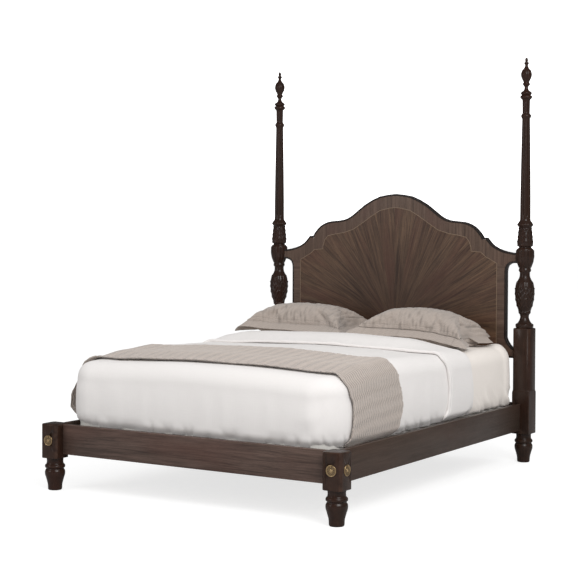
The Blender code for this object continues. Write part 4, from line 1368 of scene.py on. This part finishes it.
    def add_flange(self, bm: bmesh.types.BMesh) -> None:
        """Pulls the seam out into a flat flange in even steps."""
        across, along = flat_layers(bm)
        limit = (self.long / 2 - 10 * MERGE, self.deep / 2 - 10 * MERGE)
        band = [face for face in bm.faces if all(
            abs(v[across]) > limit[0] or abs(v[along]) > limit[1] for v in face.verts)
            and {v.co.z > 0 for v in face.verts} == {True, False}]
        step = self.flange / self.flange_steps
        for _ in range(self.flange_steps):
            made = bmesh.ops.extrude_face_region(bm, geom=band)["geom"]
            band = [item for item in made if isinstance(item, bmesh.types.BMFace)]
            rim = [item for item in made if isinstance(item, bmesh.types.BMVert)]
            for vertex in rim:
                move = [math.copysign(step, vertex[layer]) if abs(vertex[layer]) > edge else 0.0
                        for layer, edge in ((across, limit[0]), (along, limit[1]))]
                vertex[across] += move[0]
                vertex[along] += move[1]
                vertex.co += Vector((*move, 0.0))
            self.even_out(rim, across, along)
        bmesh.ops.recalc_face_normals(bm, faces=bm.faces)

    def even_out(self, rim: list[bmesh.types.BMVert], across: object, along: object, rounds: int = 5) -> None:
        """Takes the kinks out of the flange's edge, and leaves its corners.

        Args:
            rim: Points of the edge's upper and lower rings.
            across: The layer that holds each point's place across the sham.
            along: The layer that holds its place along the sham.
            rounds: How often each point moves half way to the middle of its neighbours.
        """
        inside = set(rim)
        beside = {}
        for vertex in rim:
            near = [edge.other_vert(vertex) for edge in vertex.link_edges]
            near = [other for other in near if other in inside
                    and (other[across], other[along]) != (vertex[across], vertex[along])]
            if abs(self.long / 2 - abs(vertex[across]) - self.deep / 2 + abs(vertex[along])) > 1e-3:
                beside[vertex] = near
        for _ in range(rounds):
            moved = {vertex: sum((other.co for other in near), Vector()) / len(near)
                     for vertex, near in beside.items() if near}
            for vertex, place in moved.items():
                vertex.co = vertex.co.lerp(place, 0.5)

    def lay(self, bm: bmesh.types.BMesh) -> None:
        """Moves the sham to its place, droops its flange and wrinkles it towards the seams."""
        across, along = flat_layers(bm)
        for vertex in bm.verts:
            s, t = vertex[across], vertex[along]
            out = max(abs(s) - self.long / 2, abs(t) - self.deep / 2)
            around = s if abs(t) / self.deep > abs(s) / self.long else t
            if out > 0:
                aside, ahead = max(0.0, abs(s) - self.long / 2), max(0.0, abs(t) - self.deep / 2)
                droop = max(aside * self.droops[0], ahead * self.droops[1 if t < 0 else 2])
                vertex.co.z += -droop + 0.004 * (out / self.flange) * wander(around, 0.0, self.seed, 9.0)
            else:
                near = math.exp(out / 0.055)
                pull = 0.005 * near * ease(0.0, -0.02, out)
                vertex.co.z += pull * wander(around, out * 0.35, self.seed, 30.0)
            vertex.co.xy += Vector(self.centre)
            raised = vertex.co.z + self.rest + self.sink + between(self.tilt, s)
            vertex.co.z = max(self.rest + 0.0005 * (vertex.co.z < 0), raised)


@dataclass
class Bedding:
    """Box spring, mattress, fitted sheet, duvet with its fold, throw and two shams."""

    def build(self) -> None:
        """Builds the bedding from the bottom up."""
        self.block("box_spring", inset=0.014, corner=0.090, edge=0.012, low_top=0.0)
        self.block("mattress", inset=0.016, corner=0.132, edge=0.085, low_top=0.016)
        self.fitted_sheet()
        self.duvet()
        fold = Layer("duvet_turndown", WHITE_COTTON, ("duvet_fold",), grow=FOLD_GROW, thick=0.0085,
                     columns=210, rows=72, top=fold_top, front=FOLD_FRONT, back=FOLD_BACK, hem=HEM + 0.002,
                     bead=0.006, corner=0.03, crowd=0.4, relief=fold_ripple).spread()
        throw = Layer("quilted_throw", TAUPE_THROW, ("throw",), grow=THROW_GROW, thick=0.0060,
                      columns=320, rows=150, top=throw_top, front=THROW_FRONT, back=THROW_BACK,
                      hem=HEM + 0.001, bead=0.004, corner=0.045, crowd=0.2, relief=throw_ripple,
                      follow=1.0).spread()
        Sham("left", centre=(-0.402, 0.735), seed=2.0,
             tilt=((-0.42, -0.004), (-0.33, 0.018), (-0.15, 0.006), (0.05, 0.0), (0.20, 0.0),
                   (0.40, -0.010))).build()
        Sham("right", centre=(0.345, 0.728), seed=5.0, droops=(0.50, 0.65, 0.40),
             tilt=((-0.42, 0.018), (-0.25, 0.006), (0.0, 0.0), (0.10, -0.006), (0.24, -0.021),
                   (0.40, -0.044))).build()

    def block(self, node: str, inset: float, corner: float, edge: float, low_top: float) -> None:
        """A padded block with rounded corners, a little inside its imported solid.

        Args:
            node: The solid that it stands for.
            inset: How far its sides lie inside the solid.
            corner: Radius of its upright corners.
            edge: Radius of its top edge.
            low_top: How far its top lies below the solid's.
        """
        low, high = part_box(node)
        low, high = low + Vector((inset, inset, 0.0)), high - Vector((inset, inset, low_top))
        bm = bmesh.new()
        bmesh.ops.create_cube(bm, size=1.0, matrix=Matrix.LocRotScale((low + high) / 2, None, high - low))
        upright = [e for e in bm.edges if abs(e.verts[0].co.z - e.verts[1].co.z) > 0.05]
        bmesh.ops.bevel(bm, geom=upright, offset=corner, offset_type="OFFSET", segments=10, profile=0.5,
                        affect="EDGES", material=-1)
        rim = [e for e in bm.edges if all(v.co.z > high.z - 1e-4 for v in e.verts) and len(e.link_faces) == 2
               and e.calc_face_angle() > 1.0]
        bmesh.ops.bevel(bm, geom=rim, offset=edge, offset_type="OFFSET", segments=8, profile=0.5,
                        affect="EDGES", material=-1)
        make_piece(f"{node}_pad", bm, TICKING, replaces=[node], crisp=50.0)

    def fitted_sheet(self) -> None:
        """The cream sheet stretched over the mattress."""
        reach = FORM.rolled + 0.245
        ends = (FORM.core_front - (reach - FORM.core_x), FORM.core_back + (reach - FORM.core_x))
        piece = self.draped("fitted_percale", CREAM_SHEET, ("fitted_sheet",), grow=SHEET_GROW, thick=0.0022,
                            cells=(150, 190), reach=reach, ends=ends, top=sheet_top, relief=sheet_wrinkle,
                            swell=0.004, open_back=False)

    def duvet(self) -> None:
        """The white duvet, tucked behind the rails at the foot and sides."""
        reach = FORM.rolled + 0.300
        ends = (FORM.core_front - (reach - FORM.core_x), 0.440)
        piece = self.draped("duvet_cover", WHITE_COTTON, ("duvet",), grow=DUVET_GROW, thick=0.0105,
                            cells=(200, 165), reach=reach, ends=ends, top=duvet_top, relief=duvet_wrinkle,
                            swell=0.009, open_back=True)

    def draped(self, name: str, finish: Finish, replaces: tuple[str, ...], grow: float, thick: float,
               cells: tuple[int, int], reach: float, ends: tuple[float, float],
               top: Callable[[float, float], float], relief: Callable[[float, float, Vector], float],
               swell: float, open_back: bool) -> bpy.types.Object:
        """Spreads a cloth over the whole form and trims it level at the hem.

        Args:
            name: The piece's name.
            finish: Its finish.
            replaces: The solids that it stands for.
            grow: How far its outer face lies outside the innermost shell.
            thick: Its thickness.
            cells: The grid's cells across and along.
            reach: Half of its flat width.
            ends: Flat places of its foot and head ends.
            top: Height of its top.
            relief: How far a place stands out.
            swell: How far its sides swell.
            open_back: Whether it runs on level past the head end.

        Returns:
            The piece.
        """
        bm = spread_grid(*cells)
        across, along = flat_layers(bm)
        outward = bm.verts.layers.float_vector.new("outward")
        for vertex in bm.verts:
            s = vertex.co.x * reach
            t = ends[0] + (ends[1] - ends[0]) * (vertex.co.y + 1.0) / 2
            vertex[across], vertex[along] = s, t
            place, normal = FORM.shell(s, t, grow, top, swell, open_back)
            vertex[outward] = normal
            vertex.co = place + normal * relief(s, t, place)
        slice_through(bm, (0.0, 0.0, HEM), (0.0, 0.0, 1.0), clear=True)
        for vertex in doubled(bm):
            vertex.co -= vertex[outward].normalized() * thick
        bmesh.ops.recalc_face_normals(bm, faces=bm.faces)
        map_flat(bm)
        return make_piece(name, bm, finish, replaces=replaces, crisp=80.0)


# ---- studio --------------------------------------------------------------------------------------
@dataclass
class Studio:
    """Pale floor, soft lights and the camera."""

    eye: Place = (4.0675, -6.6583, 1.3456)
    yaw: float = 31.987
    pitch: float = 1.528
    roll: float = 0.215
    lens: float = 92.09
    shift: float = -0.0502
    floor_size: float = 60.0
    floor_tone: float = 0.42
    floor_glow: float = 0.72
    surround: float = 0.74
    mirrored: float = 0.12
    seen: float = 1.1

    def build(self) -> None:
        """Sets up the floor, the world, the lights and the camera."""
        self.floor()
        self.world()
        self.light("Key", (4.4, -3.4, 4.3), (0.0, -0.1, 0.5), 3.0, 225.0)
        self.light("Fill", (-3.4, -5.6, 2.6), (0.0, 0.0, 0.8), 2.2, 50.0)
        self.camera()

    def floor(self) -> None:
        """A plain pale floor."""
        bm = bmesh.new()
        bmesh.ops.create_grid(bm, x_segments=1, y_segments=1, size=self.floor_size)
        mesh = mesh_from("floor", bm)
        material = bpy.data.materials.new("Floor")
        material.use_nodes = True
        shader = material.node_tree.nodes["Principled BSDF"]
        shader.inputs["Base Color"].default_value = (self.floor_tone,) * 3 + (1.0,)
        shader.inputs["Roughness"].default_value = 0.9
        shader.inputs["Specular IOR Level"].default_value = 0.1
        shader.inputs["Emission Color"].default_value = (1.0, 1.0, 1.0, 1.0)
        w = Wiring(material.node_tree)
        seen = w.node("LightPath").outputs["Is Camera Ray"]
        w.feed(shader.inputs["Emission Strength"], w.math("MULTIPLY", seen, self.floor_glow))
        mesh.materials.append(material)
        place_in_scene("floor", mesh)

    def world(self) -> None:
        """An even white surround, brighter where it is seen directly."""
        world = bpy.data.worlds.new("Studio")
        world.use_nodes = True
        w = Wiring(world.node_tree)
        rays = w.node("LightPath").outputs
        around = w.span(rays["Is Glossy Ray"], 0.0, 1.0, self.surround, self.mirrored)
        shown = w.math("ADD", around, w.math("MULTIPLY", rays["Is Camera Ray"], self.seen))
        background = world.node_tree.nodes["Background"]
        w.feed(background.inputs["Color"], (1.0, 1.0, 1.0))
        w.feed(background.inputs["Strength"], shown)
        bpy.context.scene.world = world
        bpy.context.scene.view_settings.view_transform = "Standard"

    def light(self, name: str, place: Place, aim: Place, size: float, power: float) -> None:
        """Adds a square soft light.

        Args:
            name: Its name.
            place: Where it hangs.
            aim: Where it points.
            size: Its side.
            power: Its power in watts.
        """
        data = bpy.data.lights.new(name, "AREA")
        data.size, data.energy = size, power
        lamp = place_in_scene(name, data)
        lamp.location = place
        lamp.rotation_euler = (Vector(aim) - Vector(place)).to_track_quat("-Z", "Y").to_euler()

    def camera(self) -> None:
        """Adds the camera and makes it the scene's."""
        data = bpy.data.cameras.new("Camera")
        data.lens, data.shift_y = self.lens, self.shift
        camera = place_in_scene("Camera", data)
        camera.location = self.eye
        aim = Euler((math.radians(90.0 - self.pitch), 0.0, math.radians(self.yaw))).to_matrix()
        camera.rotation_euler = (aim @ Matrix.Rotation(math.radians(self.roll), 3, "Z")).to_euler()
        bpy.context.scene.camera = camera


def main() -> None:
    """Builds every sub-assembly in order."""
    logging.basicConfig(level=logging.INFO, format="%(name)s: %(message)s")
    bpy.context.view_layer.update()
    for assembly in (Posts(), Rails(), Support(), Headboard(), BoltCovers(), Bedding(), Studio()):
        LOG.info("building %s", type(assembly).__name__)
        assembly.build()


if __name__ == "__main__":
    main()
